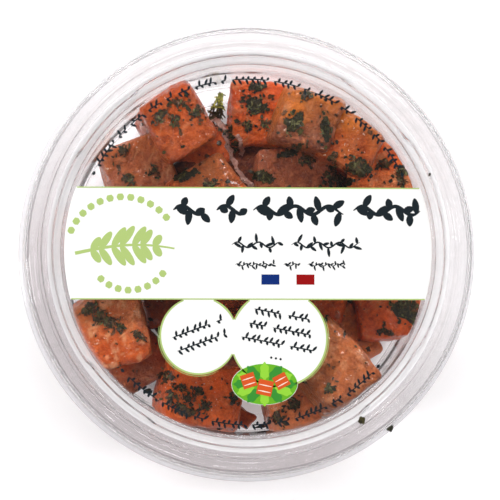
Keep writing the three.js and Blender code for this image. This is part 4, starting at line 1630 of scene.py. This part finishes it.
# %% Crumbs on the rim: x, y, level, length, width and tone
RIM_CRUMBS = (
    (28.8, -43.2, 39.3, 2.0, 1.3, LEAF_TONES[3]),
    (28.3, -43.5, 39.35, 1.2, 0.8, LEAF_TONES[2]),
    (36.8, -45.3, 30.75, 1.8, 1.2, LEAF_TONES[0]),
    (46.3, 19.7, 39.25, 0.8, 0.5, LEAF_TONES[2]),
)
crumbs = Leaves("rim_crumbs", 61)
for x, y, level, length, width, tone in RIM_CRUMBS:
    for _ in range(3):
        shape = scrap_shape(length, width, crumbs.chance)
        crumbs.lay(shape, x, y, crumbs.chance.uniform(0, 180), tone, lambda *_: level, 0.25)
crumbs.piece(leaf_finish, "dill", 0.2, inside=False)

# %% [markdown]
# ## The floor, the light and the camera
# The photo is lit like a product shot, from above and from the far side, on white. A long
# strip lamp beyond the tub's far edge draws the fine bright lines on the lid, and a small lamp
# on the left lights the walls. The world is a pale dome that darkens towards the near left. On
# such a shot the white floor has a light of its own, so the floor glows a little, but less
# away from the tub, where the lamps reach it. The camera looks almost straight down, leaning a
# few degrees from the lower left, which shows the skirt wider there.


# %% Floor
FLOOR_SIZE = 3
FLOOR_DROP = 0.0002
FLOOR_GLOW = 0.39
GLOW_RADIUS = 50
GLOW_NEAR = (1, 0.98, 0.98, 1)
GLOW_FAR = (0.42, 0.42, 0.42, 1)


def floor_finish():
    material, graph = new_material("studio_floor")
    cloud = graph.grain(60, detail=2)
    x = graph.along(graph.place(), "X")
    y = graph.along(graph.place(), "Y")
    outwards = (x * x + y * y) / (GLOW_RADIUS * MM) ** 2
    to_far_side = graph.steps(y / MM, 24, 36)
    to_left = graph.steps(x / MM, 5, -20)
    beyond = graph.steps(outwards + to_far_side + to_left, 0.85, 1.1)
    graph.surface(
        graph.node(
            "ShaderNodeBsdfPrincipled",
            {},
            {
                "Base Color": graph.mix(colour(250, 250, 250), colour(247, 247, 248), cloud),
                "Roughness": 0.8 + 0.1 * cloud,
                "Emission Color": graph.mix(GLOW_NEAR, GLOW_FAR, beyond),
                "Emission Strength": FLOOR_GLOW,
            },
        )
    )
    return material


start_clean()
bpy.ops.mesh.primitive_plane_add(size=FLOOR_SIZE, location=(0, 0, -FLOOR_DROP))
studio_floor = bpy.context.object
studio_floor.name = "studio_floor"
studio_floor.data.materials.append(floor_finish())


# %% World and lamps
WORLD_STRENGTH = 0.86
DOME_NEAR = (0.56, 0.53, 0.54, 1)
DOME_FAR = (1.0, 1.0, 1.0, 1)
DOME_TOP = (0.16, 0.15, 0.16, 1)
DOME_FOOT = (0.4, 0.39, 0.4, 1)


def light_world():
    world = bpy.data.worlds.new("pale_dome")
    bpy.context.scene.world = world
    world.use_nodes = True
    graph = Graph(world.node_tree)
    way = graph.node("ShaderNodeTexCoord", output=0)
    towards_far = 0.45 * graph.along(way, "X") + 0.89 * graph.along(way, "Y")
    height = graph.along(way, "Z")
    dome = graph.mix(DOME_NEAR, DOME_FAR, graph.steps(towards_far, -0.9, 0.7))
    dome = graph.mix(dome, DOME_TOP, graph.steps(height, 0.86, 0.95))
    dome = graph.mix(DOME_FOOT, dome, graph.steps(height, 0.02, 0.3))
    shine = graph.node("ShaderNodeBackground", {}, {"Color": dome, "Strength": WORLD_STRENGTH})
    graph.node("ShaderNodeOutputWorld", {}, {"Surface": shine})


def add_softbox(name, place, target, size, power):
    lamp = bpy.data.lights.new(name, "AREA")
    lamp.shape = "RECTANGLE"
    lamp.size, lamp.size_y = size
    lamp.energy = power
    holder = bpy.data.objects.new(name, lamp)
    bpy.context.collection.objects.link(holder)
    holder.location = place
    holder.rotation_euler = (Vector(target) - Vector(place)).to_track_quat("-Z", "Y").to_euler()
    return holder


light_world()
MID_TUB = (0, 0, 0.02)
far_softbox = add_softbox("far_softbox", (0.1, 1.17, 1.45), MID_TUB, (2.2, 0.24), 20)
left_softbox = add_softbox("left_softbox", (-1.2, -0.1, 1.0), MID_TUB, (0.25, 0.5), 6.0)
bpy.context.scene.view_settings.view_transform = "Standard"
print("lamps, in watts:", far_softbox.data.energy, "and", left_softbox.data.energy)

# %% Camera
PHOTO_SIZE = 500
PIXEL = 0.256
PHOTO_CENTRE = (250, 250)
TUB_CENTRE = (248.8, 251.2)
CAMERA_FAR = 700
CAMERA_LEAN = 4.5
CAMERA_SIDE = 225
SENSOR = 36


def add_camera():
    """A long lens that looks down, with the photo's framing at the level of the lid."""
    camera = bpy.data.cameras.new("camera")
    camera.sensor_width = SENSOR
    camera.lens = SENSOR * CAMERA_FAR / (PHOTO_SIZE * PIXEL)
    camera.clip_end = 20
    holder = bpy.data.objects.new("camera", camera)
    bpy.context.collection.objects.link(holder)
    lean = math.radians(CAMERA_LEAN)
    side = math.radians(CAMERA_SIDE)
    target_x = (PHOTO_CENTRE[0] - TUB_CENTRE[0]) * PIXEL
    target_y = (TUB_CENTRE[1] - PHOTO_CENTRE[1]) * PIXEL
    target = Vector((target_x, target_y, HEIGHT - 3))
    away = Vector((math.sin(lean) * math.cos(side), math.sin(lean) * math.sin(side), math.cos(lean)))
    forward = -away
    right = forward.cross(Vector((0, 1, 0))).normalized()
    upward = right.cross(forward)
    turn = Matrix((right, upward, away)).transposed()
    holder.matrix_world = Matrix.Translation((target + CAMERA_FAR * away) * MM) @ turn.to_4x4()
    bpy.context.scene.camera = holder
    return holder


camera = add_camera()
print(f"camera {CAMERA_FAR} mm from the lid, lens {camera.data.lens:.0f} mm")
